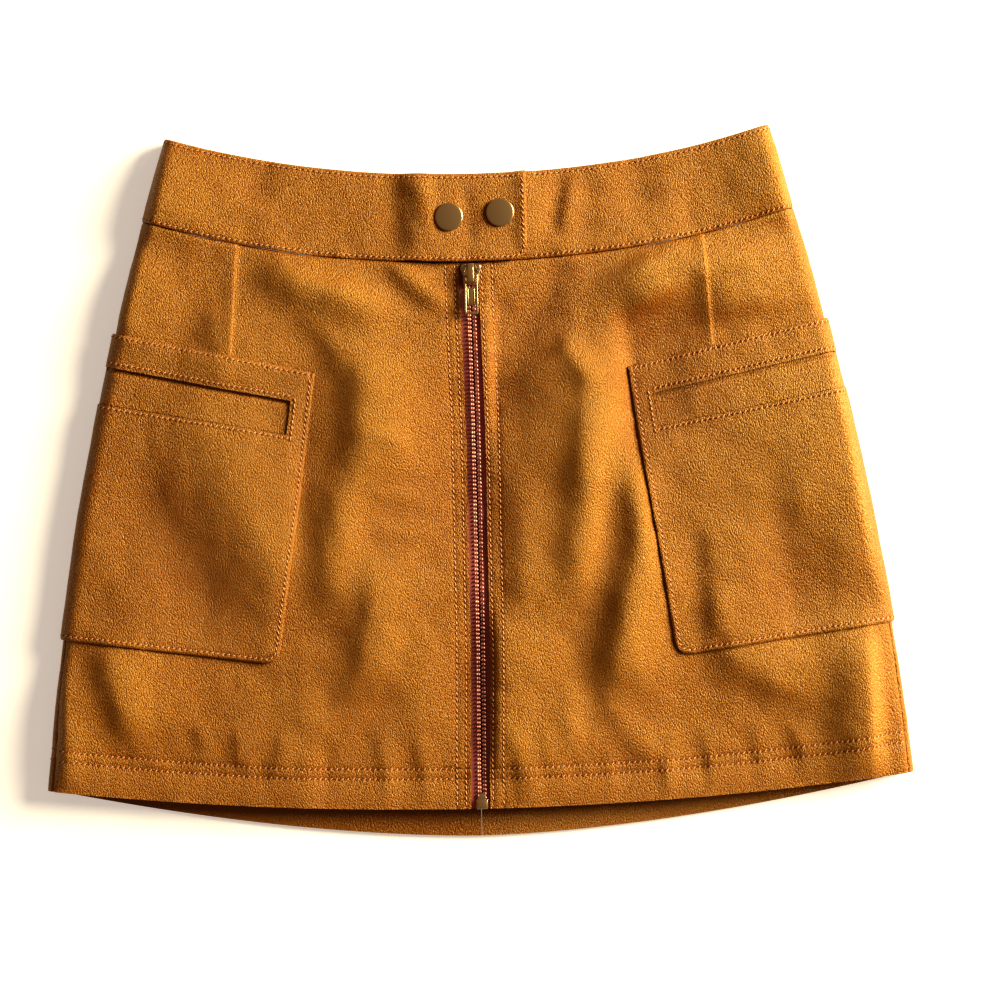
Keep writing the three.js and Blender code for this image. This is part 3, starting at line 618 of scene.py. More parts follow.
def hide_material(name, tint, shade_seed):
    """Pebble-grain leather: raised pebbles with painted shade between them, painted highlight (paler, yellower) on the
    fold ridges and painted shade (darker, redder) in the fold troughs.
    """
    material, tree, shader = new_material(name)
    link = tree.links.new
    place = node(tree, "ShaderNodeUVMap", uv_map="hide")
    spread = node(tree, "ShaderNodeMapping")
    spread.inputs["Rotation"].default_value = (0, 0, math.radians(-35))
    spread.inputs["Scale"].default_value = (1000, 620, 1000)
    link(place.outputs["UV"], spread.inputs["Vector"])
    warp = node(tree, "ShaderNodeTexNoise", noise_dimensions="2D", Scale=0.9, Detail=2.0)
    link(spread.outputs["Vector"], warp.inputs["Vector"])
    shift = node(tree, "ShaderNodeVectorMath", operation="SCALE")
    shift.inputs["Scale"].default_value = 0.5
    link(warp.outputs["Color"], shift.inputs[0])
    moved = node(tree, "ShaderNodeVectorMath", operation="ADD")
    link(spread.outputs["Vector"], moved.inputs[0])
    link(shift.outputs["Vector"], moved.inputs[1])
    pebbles = node(tree, "ShaderNodeTexVoronoi", voronoi_dimensions="2D", feature="SMOOTH_F1", Scale=1.15,
                   Smoothness=0.4)
    link(moved.outputs["Vector"], pebbles.inputs["Vector"])
    pores = node(tree, "ShaderNodeTexNoise", noise_dimensions="2D", Scale=2.2, Detail=2.0, Roughness=0.6)
    link(moved.outputs["Vector"], pores.inputs["Vector"])
    height = node(tree, "ShaderNodeMath", operation="MULTIPLY_ADD")
    height.inputs[1].default_value = -0.9
    link(pebbles.outputs["Distance"], height.inputs[0])
    link(pores.outputs["Fac"], height.inputs[2])
    bump = node(tree, "ShaderNodeBump", Strength=0.85)
    bump.inputs["Distance"].default_value = 0.00055
    link(height.outputs["Value"], bump.inputs["Height"])
    link(bump.outputs["Normal"], shader.inputs["Normal"])

    # Darker between the pebbles, where the bump's hollows lie: painted shade
    grain_shade = node(tree, "ShaderNodeMapRange")
    grain_shade.inputs["From Min"].default_value = 0.15
    grain_shade.inputs["From Max"].default_value = 0.62
    link(pebbles.outputs["Distance"], grain_shade.inputs["Value"])
    cloud = node(tree, "ShaderNodeTexNoise", noise_dimensions="2D", Scale=0.022, Detail=4.0, Roughness=0.55)
    offset = node(tree, "ShaderNodeVectorMath", operation="ADD")
    offset.inputs[1].default_value = (37.0 * shade_seed, 11.0 * shade_seed, 0)
    link(spread.outputs["Vector"], offset.inputs[0])
    link(offset.outputs["Vector"], cloud.inputs["Vector"])
    lay = node(tree, "ShaderNodeAttribute", attribute_name="lay")
    # Fold height mapped to 0 to 1: painted highlight on the ridges, painted shade in the troughs, mixed with random
    # tone from the cloud
    fold_light_and_shade = node(tree, "ShaderNodeMapRange")
    fold_light_and_shade.inputs["From Min"].default_value = -4
    fold_light_and_shade.inputs["From Max"].default_value = 7
    link(lay.outputs["Fac"], fold_light_and_shade.inputs["Value"])
    tone = node(tree, "ShaderNodeMix", data_type="FLOAT")
    tone.inputs["Factor"].default_value = 0.35
    link(fold_light_and_shade.outputs["Result"], tone.inputs["A"])
    link(cloud.outputs["Fac"], tone.inputs["B"])
    # Ramp from the painted shade colour of the fold troughs to the painted highlight colour of the fold ridges
    ramp = node(tree, "ShaderNodeValToRGB")
    base = np.array(tint)
    ramp.color_ramp.elements[0].position = 0.25
    ramp.color_ramp.elements[0].color = (*(base * (0.90, 0.78, 0.55)), 1)
    ramp.color_ramp.elements[1].position = 0.75
    ramp.color_ramp.elements[1].color = (*(base * (1.10, 1.32, 1.7)), 1)
    link(tone.outputs["Result"], ramp.inputs["Fac"])
    depth = node(tree, "ShaderNodeMath", operation="MULTIPLY")
    depth.inputs[1].default_value = 0.55
    link(grain_shade.outputs["Result"], depth.inputs[0])
    mixed = node(tree, "ShaderNodeMix", data_type="RGBA")
    mixed.inputs["B"].default_value = (*colours().hide_grain_shade, 1)
    link(depth.outputs["Value"], mixed.inputs["Factor"])
    link(ramp.outputs["Color"], mixed.inputs["A"])
    link(mixed.outputs["Result"], shader.inputs["Base Color"])

    gloss = node(tree, "ShaderNodeMapRange")
    gloss.inputs["To Min"].default_value = 0.36
    gloss.inputs["To Max"].default_value = 0.50
    link(pores.outputs["Fac"], gloss.inputs["Value"])
    link(gloss.outputs["Result"], shader.inputs["Roughness"])
    shader.inputs["Specular IOR Level"].default_value = 1.0
    shader.inputs["Specular Tint"].default_value = (1, 0.86, 0.42, 1)
    return material


def thread_material():
    material, tree, shader = new_material("thread")
    place = node(tree, "ShaderNodeTexCoord")
    twist = node(tree, "ShaderNodeTexNoise", Scale=2600.0, Detail=1.0)
    tree.links.new(place.outputs["Object"], twist.inputs["Vector"])
    ramp = node(tree, "ShaderNodeValToRGB")
    base = np.array(colours().thread)
    ramp.color_ramp.elements[0].color = (*(base * 0.7), 1)
    ramp.color_ramp.elements[1].color = (*(base * 1.25), 1)
    tree.links.new(twist.outputs["Fac"], ramp.inputs["Fac"])
    tree.links.new(ramp.outputs["Color"], shader.inputs["Base Color"])
    bump = node(tree, "ShaderNodeBump", Strength=0.4)
    bump.inputs["Distance"].default_value = 0.0001
    tree.links.new(twist.outputs["Fac"], bump.inputs["Height"])
    tree.links.new(bump.outputs["Normal"], shader.inputs["Normal"])
    shader.inputs["Roughness"].default_value = 0.5
    return material


def needle_hole_shade_material():
    material, tree, shader = new_material("needle_hole")
    place = node(tree, "ShaderNodeTexCoord")
    grain = node(tree, "ShaderNodeTexNoise", Scale=900.0)
    tree.links.new(place.outputs["Object"], grain.inputs["Vector"])
    ramp = node(tree, "ShaderNodeValToRGB")
    # The dark colour is painted shade inside the needle holes
    ramp.color_ramp.elements[0].color = (0.030, 0.007, 0.002, 1)
    ramp.color_ramp.elements[1].color = (0.070, 0.018, 0.005, 1)
    tree.links.new(grain.outputs["Fac"], ramp.inputs["Fac"])
    tree.links.new(ramp.outputs["Color"], shader.inputs["Base Color"])
    shader.inputs["Roughness"].default_value = 0.8
    return material


def tape_material():
    """Herringbone tape on the piece's own map."""
    material, tree, shader = new_material("zip_tape")
    link = tree.links.new
    place = node(tree, "ShaderNodeUVMap", uv_map="hide")
    turn = node(tree, "ShaderNodeMapping")
    turn.inputs["Scale"].default_value = (1000, 1000, 1000)
    turn.inputs["Rotation"].default_value = (0, 0, math.radians(62))
    link(place.outputs["UV"], turn.inputs["Vector"])
    weave = node(tree, "ShaderNodeTexWave", wave_type="BANDS", Scale=0.34, Distortion=1.2, Detail=1.0)
    weave.inputs["Detail Scale"].default_value = 2.0
    link(turn.outputs["Vector"], weave.inputs["Vector"])
    ramp = node(tree, "ShaderNodeValToRGB")
    base = np.array(colours().tape)
    ramp.color_ramp.elements[0].color = (*(base * 0.5), 1)
    ramp.color_ramp.elements[1].color = (*(base * 1.6), 1)
    link(weave.outputs["Fac"], ramp.inputs["Fac"])
    link(ramp.outputs["Color"], shader.inputs["Base Color"])
    bump = node(tree, "ShaderNodeBump", Strength=0.7)
    bump.inputs["Distance"].default_value = 0.0002
    link(weave.outputs["Fac"], bump.inputs["Height"])
    link(bump.outputs["Normal"], shader.inputs["Normal"])
    shader.inputs["Roughness"].default_value = 0.8
    return material


def coil_material():
    material, tree, shader = new_material("zip_teeth")
    link = tree.links.new
    place = node(tree, "ShaderNodeTexCoord")
    cloud = node(tree, "ShaderNodeTexNoise", Scale=260.0, Detail=3.0)
    link(place.outputs["Object"], cloud.inputs["Vector"])
    ramp = node(tree, "ShaderNodeValToRGB")
    base = np.array(colours().coil)
    ramp.color_ramp.elements[0].position = 0.35
    ramp.color_ramp.elements[0].color = (*(base * (0.55, 0.5, 0.6)), 1)
    ramp.color_ramp.elements[1].position = 0.7
    ramp.color_ramp.elements[1].color = (*(base * (1.3, 1.4, 1.5)), 1)
    link(cloud.outputs["Fac"], ramp.inputs["Fac"])
    link(ramp.outputs["Color"], shader.inputs["Base Color"])
    rough = node(tree, "ShaderNodeMapRange")
    rough.inputs["To Min"].default_value = 0.22
    rough.inputs["To Max"].default_value = 0.42
    link(cloud.outputs["Fac"], rough.inputs["Value"])
    link(rough.outputs["Result"], shader.inputs["Roughness"])
    shader.inputs["Metallic"].default_value = 0.35
    return material


def brass_material():
    """Satin brass with patina in patches, darker on the parts that lie sunk or under others (antique patina in part,
    painted shade in part), and fine rubbed scratches.
    """
    material, tree, shader = new_material("antique_brass")
    link = tree.links.new
    place = node(tree, "ShaderNodeTexCoord")
    patch = node(tree, "ShaderNodeTexNoise", Scale=320.0, Detail=5.0, Roughness=0.65)
    link(place.outputs["Object"], patch.inputs["Vector"])
    ramp = node(tree, "ShaderNodeValToRGB")
    base = np.array(colours().brass)
    ramp.color_ramp.elements[0].position = 0.32
    ramp.color_ramp.elements[0].color = (*(base * (0.72, 0.62, 0.5)), 1)
    ramp.color_ramp.elements[1].position = 0.62
    ramp.color_ramp.elements[1].color = (*(base * 1.1), 1)
    link(patch.outputs["Fac"], ramp.inputs["Fac"])
    # Per-part share that darkens the brass towards dark brown: antique patina in part, painted shade in part
    patina_shade_node = node(tree, "ShaderNodeAttribute", attribute_name="patina_and_shade")
    aged_and_shaded = node(tree, "ShaderNodeMix", data_type="RGBA")
    aged_and_shaded.inputs["B"].default_value = (0.035, 0.016, 0.006, 1)
    link(patina_shade_node.outputs["Fac"], aged_and_shaded.inputs["Factor"])
    link(ramp.outputs["Color"], aged_and_shaded.inputs["A"])
    link(aged_and_shaded.outputs["Result"], shader.inputs["Base Color"])
    fine = node(tree, "ShaderNodeTexNoise", Scale=2400.0, Detail=2.0)
    link(place.outputs["Object"], fine.inputs["Vector"])
    rough = node(tree, "ShaderNodeMapRange")
    rough.inputs["To Min"].default_value = 0.32
    rough.inputs["To Max"].default_value = 0.50
    link(patch.outputs["Fac"], rough.inputs["Value"])
    link(rough.outputs["Result"], shader.inputs["Roughness"])
    bump = node(tree, "ShaderNodeBump", Strength=0.25)
    bump.inputs["Distance"].default_value = 0.00006
    link(fine.outputs["Fac"], bump.inputs["Height"])
    link(bump.outputs["Normal"], shader.inputs["Normal"])
    shader.inputs["Metallic"].default_value = 1.0
    return material


def finish_of(kind):
    """The material of one kind, made once."""
    made = bpy.data.materials.get(kind)
    if made:
        return made
    hide = np.array(colours().hide)
    makers = {
        "hide_panel": lambda: hide_material("hide_panel", hide, 1),
        "hide_band": lambda: hide_material("hide_band", hide * (1.04, 1.05, 1.05), 2),
        "hide_pocket": lambda: hide_material("hide_pocket", hide * (0.94, 0.93, 0.95), 3),
        "thread": thread_material,
        "needle_hole": needle_hole_shade_material,
        "zip_tape": tape_material,
        "zip_teeth": coil_material,
        "antique_brass": brass_material,
    }
    return makers[kind]()


def scattered(whole, shape, places):
    """Adds a copy of the small shape at each place."""
    for place in places:
        copy = shape.copy()
        copy.transform(place)
        whole.from_mesh(copy)
        bpy.data.meshes.remove(copy)


def small_sphere(name, around, along):
    bm = bmesh.new()
    bmesh.ops.create_uvsphere(bm, u_segments=around, v_segments=along, radius=1)
    mesh = bpy.data.meshes.new(name)
    bm.to_mesh(mesh)
    bm.free()
    return mesh


# Sewing
def run_points(cut, run):
    """Places of a run of sewing on its piece, evenly spread by the stitch pitch."""
    count = 500
    edge = run["edge"]
    inset = run["inset"]
    if edge == "corner":
        t_down = np.linspace(cut.top + run["start"], cut.foot - inset, count)
        t_along = np.full(count, cut.foot - inset)
        s_down = cut.inner(t_down) + inset
        s_along = np.linspace(cut.inner(t_along[0]) + inset, cut.outer(t_along[0]) - run["end"], count)
        s = np.concatenate([s_down, s_along[1:]])
        t = np.concatenate([t_down, t_along[1:]])
    elif edge == "inner":
        t = np.linspace(cut.top + run["start"], cut.foot - run["end"], count)
        s = cut.inner(t) + inset
    else:
        t = np.full(count, cut.top + inset if edge == "top" else cut.foot - inset)
        s = np.linspace(cut.inner(t[0]) + run["start"], cut.outer(t[0]) - run["end"], count)
    points = cut.surface(s, t)
    length = np.concatenate([[0], np.cumsum(np.linalg.norm(np.diff(points, axis=0), axis=1))])
    marks = np.arange(sizes().stitch_pitch / 2, length[-1], sizes().stitch_pitch)
    return np.interp(marks, length, s), np.interp(marks, length, t)


def sew(name, runs):
    """Stitches and their needle holes along runs of sewing."""
    stitch_mesh = bmesh.new()
    hole_mesh = bmesh.new()
    size = sizes()
    rng = np.random.default_rng(len(name))
    grain = small_sphere("stitch", 6, 5)
    pit = small_sphere("pit", 6, 4)
    lie_down = Matrix.Rotation(math.pi / 2, 4, "Y")
    thread = Matrix.Diagonal((size.stitch_length / 2, size.thread / 2, size.thread / 2.2, 1))
    dimple = Matrix.Diagonal((HOLE_RADIUS, HOLE_RADIUS, HOLE_RADIUS / 3, 1))
    for cut, run in runs:
        s, t = run_points(cut, run)
        here = cut.surface(s, t)
        normal = skin_normal(cut.side, s, t)
        sink = UNDERSIDE_SINK * (1 - facing_up(cut.side, s, t))
        ahead_s = np.append(s[1:], 2 * s[-1] - s[-2])
        ahead_t = np.append(t[1:], 2 * t[-1] - t[-2])
        way = cut.surface(ahead_s, ahead_t) - here
        way = way / np.linalg.norm(way, axis=1, keepdims=True)
        stitches = []
        holes = []
        for k in range(len(s)):
            z = Vector(normal[k])
            slant = math.radians(run.get("slant", 14) + rng.uniform(-5, 5))
            x = Matrix.Rotation(slant, 3, z) @ Vector(way[k])
            axes = Matrix((x, z.cross(x).normalized(), z)).transposed().to_4x4()
            lifted = Vector(here[k]) + z * (STITCH_LIFT - sink[k])
            stitches.append(Matrix.Translation(lifted) @ axes @ thread @ lie_down)
            between_two = Vector(here[k] + way[k] * size.stitch_pitch / 2)
            holes.append(Matrix.Translation(between_two + z * (HOLE_LIFT - sink[k] / 4)) @ axes @ dimple)
        scattered(stitch_mesh, grain, stitches)
        scattered(hole_mesh, pit, holes)
    bpy.data.meshes.remove(grain)
    bpy.data.meshes.remove(pit)
    for label, bm, kind in (("stitches", stitch_mesh, "thread"), ("needle_holes", hole_mesh, "needle_hole")):
        bmesh.ops.scale(bm, vec=(MM, MM, MM), verts=bm.verts)
        piece = object_of(f"{label}_{name}", bm, 80)
        dress(piece, finish_of(kind), "garment", ())


# The cut pieces
def zip_bow(t):
    """The zip bows to the right between its ends: 0 at both, 1 along its middle."""
    up = (HEM - t) / (HEM - BAND_SEAM)
    rise = np.clip(3 * up, 0, 1)
    fall = np.clip(3 * (1 - up), 0, 1)
    return rise ** 2 * (3 - 2 * rise) * fall ** 2 * (3 - 2 * fall)


def zip_edge(side):
    return lambda t: ZIP_EDGE[side] + side * ZIP_EDGE_BOW * zip_bow(t)


def chain_x(t):
    return CHAIN_END_X + CHAIN_BOW * zip_bow(t)


def cut_front(side):
    rows = {"inner": (3.0, 8.5) if side < 0 else (1.6, 8.0), "foot": (18.0, 24.0)}
    return Leather(side, zip_edge(side), lambda t: seam_place(t) - GAP / 2, BAND_SEAM + GAP / 2, HEM,
                   sewing=rows, rolled=("top", "outer"), seed=2 + side, dart=dart_place)


def cut_back(side):
    return Leather(side, lambda t: seam_place(t) + GAP / 2, lambda t: centre_back(t) - BACK_SEAM_GAP / 2,
                   BAND_SEAM + GAP / 2, HEM, sewing={"foot": (18.0, 24.0)}, rolled=("inner", "outer", "top"), seed=6 + side)


def cut_band_back(side):
    return Leather(side, lambda t: seam_place(t) + GAP / 2, centre_back, 0.0, BAND_SEAM - GAP / 2,
                   lift=lambda side, s: np.full(np.shape(s), BAND_RISE), sewing={"top": (2.4,), "foot": (1.9,)},
                   rolled=("top", "foot", "inner"), seed=20)


def tab_rise(side, s):
    """The left band climbs over the right one by a band's thickness and a gap."""
    t = np.clip((side * s - TAB_RAMP_START_X) / TAB_RAMP_LENGTH, 0, 1)
    climb = (BAND_WALL + GAP) * t * t * (3 - 2 * t)
    return BAND_RISE + (climb if side < 0 else 0 * climb)


def cut_band(side):
    end = -TAB_END_X if side < 0 else UNDERLAP_END_X
    inner = lambda t: np.full(np.shape(t), end)
    rows = {"top": (2.4,), "foot": (1.9,), "inner": (1.9,) if side < 0 else ()}
    return Leather(side, inner, lambda t: seam_place(t) - GAP / 2, 0.0, BAND_SEAM - GAP / 2, lift=tab_rise,
                   sewing=rows, rolled=("top", "foot", "inner", "outer"), seed=9 + side,
                   corner=8.0 if side < 0 else 0.0)


def cut_pocket(side):
    rows = {"top": (2.0,), "foot": (2.5,), "inner": (2.5,)}
    return Leather(side, pocket_edge, pocket_back, POCKET_TOP, POCKET_FOOT, lift=GAP + POCKET_WALL,
                   sewing=rows, rolled=("top", "foot", "inner", "outer"), seed=12 + side, corner=8.0)


def cut_strip(side):
    return Leather(side, lambda t: pocket_edge(t) + WINDOW_INSET + GAP, lambda t: pocket_back(t) - WINDOW_BACK_INSET - GAP,
                   SLIT + SLIT_OPEN, STRIP_FOOT - GAP, lift=GAP + STRIP_WALL, rolled=("top",), seed=15 + side)


def name_of(side):
    return "left" if side < 0 else "right"


def area_of(piece):
    """Area of all the faces of a piece's mesh."""
    mesh = piece.data
    mesh.calc_loop_triangles()
    return sum(tri.area for tri in mesh.loop_triangles)


def declare(piece, width, length, wall):
    face_area = (area_of(piece) - 2 * (width + length) * wall * MM * MM) / 2


class SKIRT_OT_fronts(bpy.types.Operator):
    """Make the two front panels"""
    bl_idname = "skirt.fronts"
    bl_label = "Front panels"

    def execute(self, context):
        for side in (-1, 1):
            cut = cut_front(side)
            label = name_of(side)
            piece = leather_mesh(f"front_panel_{label}", cut, LEATHER, thick_foot=HEM_WALL)
            dress(piece, finish_of("hide_panel"), "garment", [f"front_{label}"])
            declare(piece, 268, 362, LEATHER)
        return {"FINISHED"}


class SKIRT_OT_backs(bpy.types.Operator):
    """Make the two back panels"""
    bl_idname = "skirt.backs"
    bl_label = "Back panels"

    def execute(self, context):
        for side in (-1, 1):
            label = name_of(side)
            piece = leather_mesh(f"back_panel_{label}", cut_back(side), LEATHER, thick_foot=HEM_WALL)
            dress(piece, finish_of("hide_panel"), "garment", [f"back_{label}"])
            declare(piece, 275, 378, LEATHER)
        return {"FINISHED"}


class SKIRT_OT_waistband(bpy.types.Operator):
    """Make the waistband: the front's two ends and the back"""
    bl_idname = "skirt.waistband"
    bl_label = "Waistband"

    def execute(self, context):
        for side in (-1, 1):
            label = name_of(side)
            cut = cut_band(side)
            piece = leather_mesh(f"band_front_{label}", cut, BAND_WALL)
            dress(piece, finish_of("hide_band"), "garment", [f"waistband_front_{label}"])
            declare(piece, 250, 78, BAND_WALL)
        backs = []
        for side in (-1, 1):
            backs.append(leather_mesh(f"band_back_{name_of(side)}", cut_band_back(side), BAND_WALL))
        whole = bmesh.new()
        for half in backs:
            whole.from_mesh(half.data)
        joint = [vert for vert in whole.verts if abs(vert.co.x) < CENTRE_REACH]
        for vert in joint:
            vert.co.x = 0
        inner = [face for face in whole.faces if all(abs(vert.co.x) < CENTRE_REACH for vert in face.verts)]
        bmesh.ops.delete(whole, geom=inner, context="FACES_ONLY")
        bmesh.ops.remove_doubles(whole, verts=joint, dist=CENTRE_REACH)
        mesh = backs[0].data.copy()
        whole.to_mesh(mesh)
        whole.free()
        for half in backs:
            bpy.data.objects.remove(half)
        mesh.name = "band_back"
        piece = bpy.data.objects.new("band_back", mesh)
        context.collection.objects.link(piece)
        dress(piece, finish_of("hide_band"), "garment", ["waistband_back"])
        declare(piece, 420, 82, BAND_WALL)
        return {"FINISHED"}


class SKIRT_OT_pockets(bpy.types.Operator):
    """Make the patch pockets with their slits and strips"""
    bl_idname = "skirt.pockets"
    bl_label = "Pockets"

    def execute(self, context):
        for side in (-1, 1):
            label = name_of(side)
            piece = leather_mesh(f"patch_pocket_{label}", cut_pocket(side), POCKET_WALL, window=True)
            dress(piece, finish_of("hide_pocket"), "garment", [f"pocket_{label}"])
            strip = leather_mesh(f"slit_strip_{label}", cut_strip(side), STRIP_WALL)
            dress(strip, finish_of("hide_pocket"), "garment", [f"pocket_strip_{label}"])
            declare(piece, 168, 198, POCKET_WALL)
            declare(strip, 130, 46, STRIP_WALL)
        return {"FINISHED"}


class SKIRT_OT_sewing(bpy.types.Operator):
    """Sew the top stitching of every piece"""
    bl_idname = "skirt.sewing"
    bl_label = "Sewing"

    def execute(self, context):
        hem_runs = []
        zip_runs = []
        band_runs = []
        pocket_runs = []
        above = SLIT - POCKET_TOP - 2.6
        below = STRIP_FOOT - POCKET_TOP + 2.0
        for side in (-1, 1):
            front = cut_front(side)
            back = cut_back(side)
            first, second = front.sewing["inner"]
            for inset in (18.0, 24.0):
                hem_runs.append((front, {"edge": "foot", "inset": inset, "start": second + 1.5, "end": 1, "slant": 40}))
                hem_runs.append((back, {"edge": "foot", "inset": inset, "start": 1, "end": 2, "slant": 40}))
            for inset in (first, second):
                zip_runs.append((front, {"edge": "inner", "inset": inset, "start": 1, "end": 1}))
            band = cut_band(side)
            if side < 0:
                band_runs.append((band, {"edge": "corner", "inset": 1.9, "start": 4, "end": 1, "slant": 30}))
                band_runs.append((band, {"edge": "top", "inset": 2.4, "start": 2.5, "end": 1}))
            else:
                hidden = TAB_END_X - UNDERLAP_END_X
                band_runs.append((band, {"edge": "top", "inset": 2.4, "start": 3.5 + hidden, "end": 1}))
                band_runs.append((band, {"edge": "foot", "inset": 1.9, "start": 3.5 + hidden, "end": 1, "slant": 40}))
            for edge, inset in (("top", 2.4), ("foot", 1.9)):
                band_runs.append((cut_band_back(side), {"edge": edge, "inset": inset, "start": 1, "end": 2}))
            pocket_runs += [
                (cut_pocket(side), {"edge": "top", "inset": 2.0, "start": 2.5, "end": 3, "slant": 40}),
                (cut_pocket(side), {"edge": "corner", "inset": 2.5, "start": 4, "end": 3, "slant": 30}),
                (cut_pocket(side), {"edge": "top", "inset": above, "start": WINDOW_INSET, "end": 9, "slant": 40}),
                (cut_pocket(side), {"edge": "top", "inset": below, "start": WINDOW_INSET - 2, "end": 9, "slant": 40}),
                (cut_pocket(side), {"edge": "inner", "inset": WINDOW_INSET - 2.4, "start": above,
                                    "end": POCKET_FOOT - STRIP_FOOT - 2}),
            ]
        sew("hem", hem_runs)
        sew("zip", zip_runs)
        sew("band", band_runs)
        sew("pockets", pocket_runs)
        return {"FINISHED"}


class SKIRT_OT_zip_line(bpy.types.Operator):
    """Make the zip's tapes and teeth"""
    bl_idname = "skirt.zip_line"
    bl_label = "Zip tapes and teeth"

    def execute(self, context):
        for side in (-1, 1):
            label = name_of(side)
            tape = Leather(side, lambda t: side * chain_x(t) + 0.6, lambda t: np.full(np.shape(t), 15.0),
                           BAND_SEAM + GAP, HEM - 0.2, lift=-(LEATHER + GAP), seed=30)
            piece = leather_mesh(f"tape_{label}", tape, 0.8)
            dress(piece, finish_of("zip_tape"), "garment", [f"zip_tape_{label}"])
        self.teeth(context)
        return {"FINISHED"}

    def teeth(self, context):
        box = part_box("zip_chain")
        top = WAIST + ROWS[0, 0] - box[1][1] / MM
        foot = ROWS[0, 0] - box[0][1] / MM
        pitch = sizes().tooth_pitch
        whole = bmesh.new()
        bead = small_sphere("bead", 8, 6)
        for side in (-1, 1):
            places = np.arange(top + 0.8 + (0.5 * pitch if side > 0 else 0), foot - 0.8, pitch)
            centre = chain_x(places)
            tilt = Matrix.Rotation(math.radians(12 * side), 4, "Z")
            for reach, half, height, rise in TOOTH_PARTS:
                x = centre + side * reach
                spots = skin(1, x, places)
                shape = Matrix.Diagonal((half, pitch * TOOTH_SHARE, height, 1))
                lifted = [Matrix.Translation(Vector(spot) + Vector((0, 0, rise))) @ tilt @ shape for spot in spots]
                scattered(whole, bead, lifted)
        bpy.data.meshes.remove(bead)
        bmesh.ops.scale(whole, vec=(MM, MM, MM), verts=whole.verts)
        piece = object_of("zip_teeth", whole, 80)
        dress(piece, finish_of("zip_teeth"), "garment", ["zip_chain"])


def bevelled(bm, edges, width):
    bmesh.ops.bevel(bm, geom=edges, offset=width, segments=3, profile=0.5, affect="EDGES", material=-1,
                    clamp_overlap=True)
    return bm


def raised(outline, rise, width, all_edges=False):
    """A plate from the points of its outline, raised along one way, with softened edges."""
    bm = bmesh.new()
    face = bm.faces.new([bm.verts.new(point) for point in outline])
    up = bmesh.ops.extrude_face_region(bm, geom=[face])
    moved = [item for item in up["geom"] if isinstance(item, bmesh.types.BMVert)]
    bmesh.ops.translate(bm, vec=rise, verts=moved)
    bmesh.ops.recalc_face_normals(bm, faces=bm.faces[:])
    way = Vector(rise).normalized()
    flat = [edge for edge in bm.edges if abs((edge.verts[0].co - edge.verts[1].co).dot(way)) < 1e-6]
    return bevelled(bm, bm.edges[:] if all_edges else flat, width)


def plate(outline, low, high, width):
    return raised([(x, y, low) for x, y in outline], (0, 0, high - low), width)


def box(low, high, width):
    bm = bmesh.new()
    size = [b - a for a, b in zip(low, high)]
    middle = [(a + b) / 2 for a, b in zip(low, high)]
    bmesh.ops.create_cube(bm, size=1, matrix=Matrix.Translation(middle) @ Matrix.Diagonal((*size, 1)))
    return bevelled(bm, bm.edges[:], width)


def joined(parts, place=(0, 0, 0)):
    """One bmesh in metres from closed parts in millimetres, each with its share of patina and painted shade."""
    whole = bmesh.new()
    for bm, patina_and_shade in parts:
        layer = bm.verts.layers.float.new("patina_and_shade")
        for vert in bm.verts:
            vert[layer] = patina_and_shade
        mesh = bpy.data.meshes.new("part")
        bm.to_mesh(mesh)
        bm.free()
        whole.from_mesh(mesh)
        bpy.data.meshes.remove(mesh)
    bmesh.ops.scale(whole, vec=(MM, MM, MM), verts=whole.verts)
    bmesh.ops.translate(whole, vec=place, verts=whole.verts)
    return whole


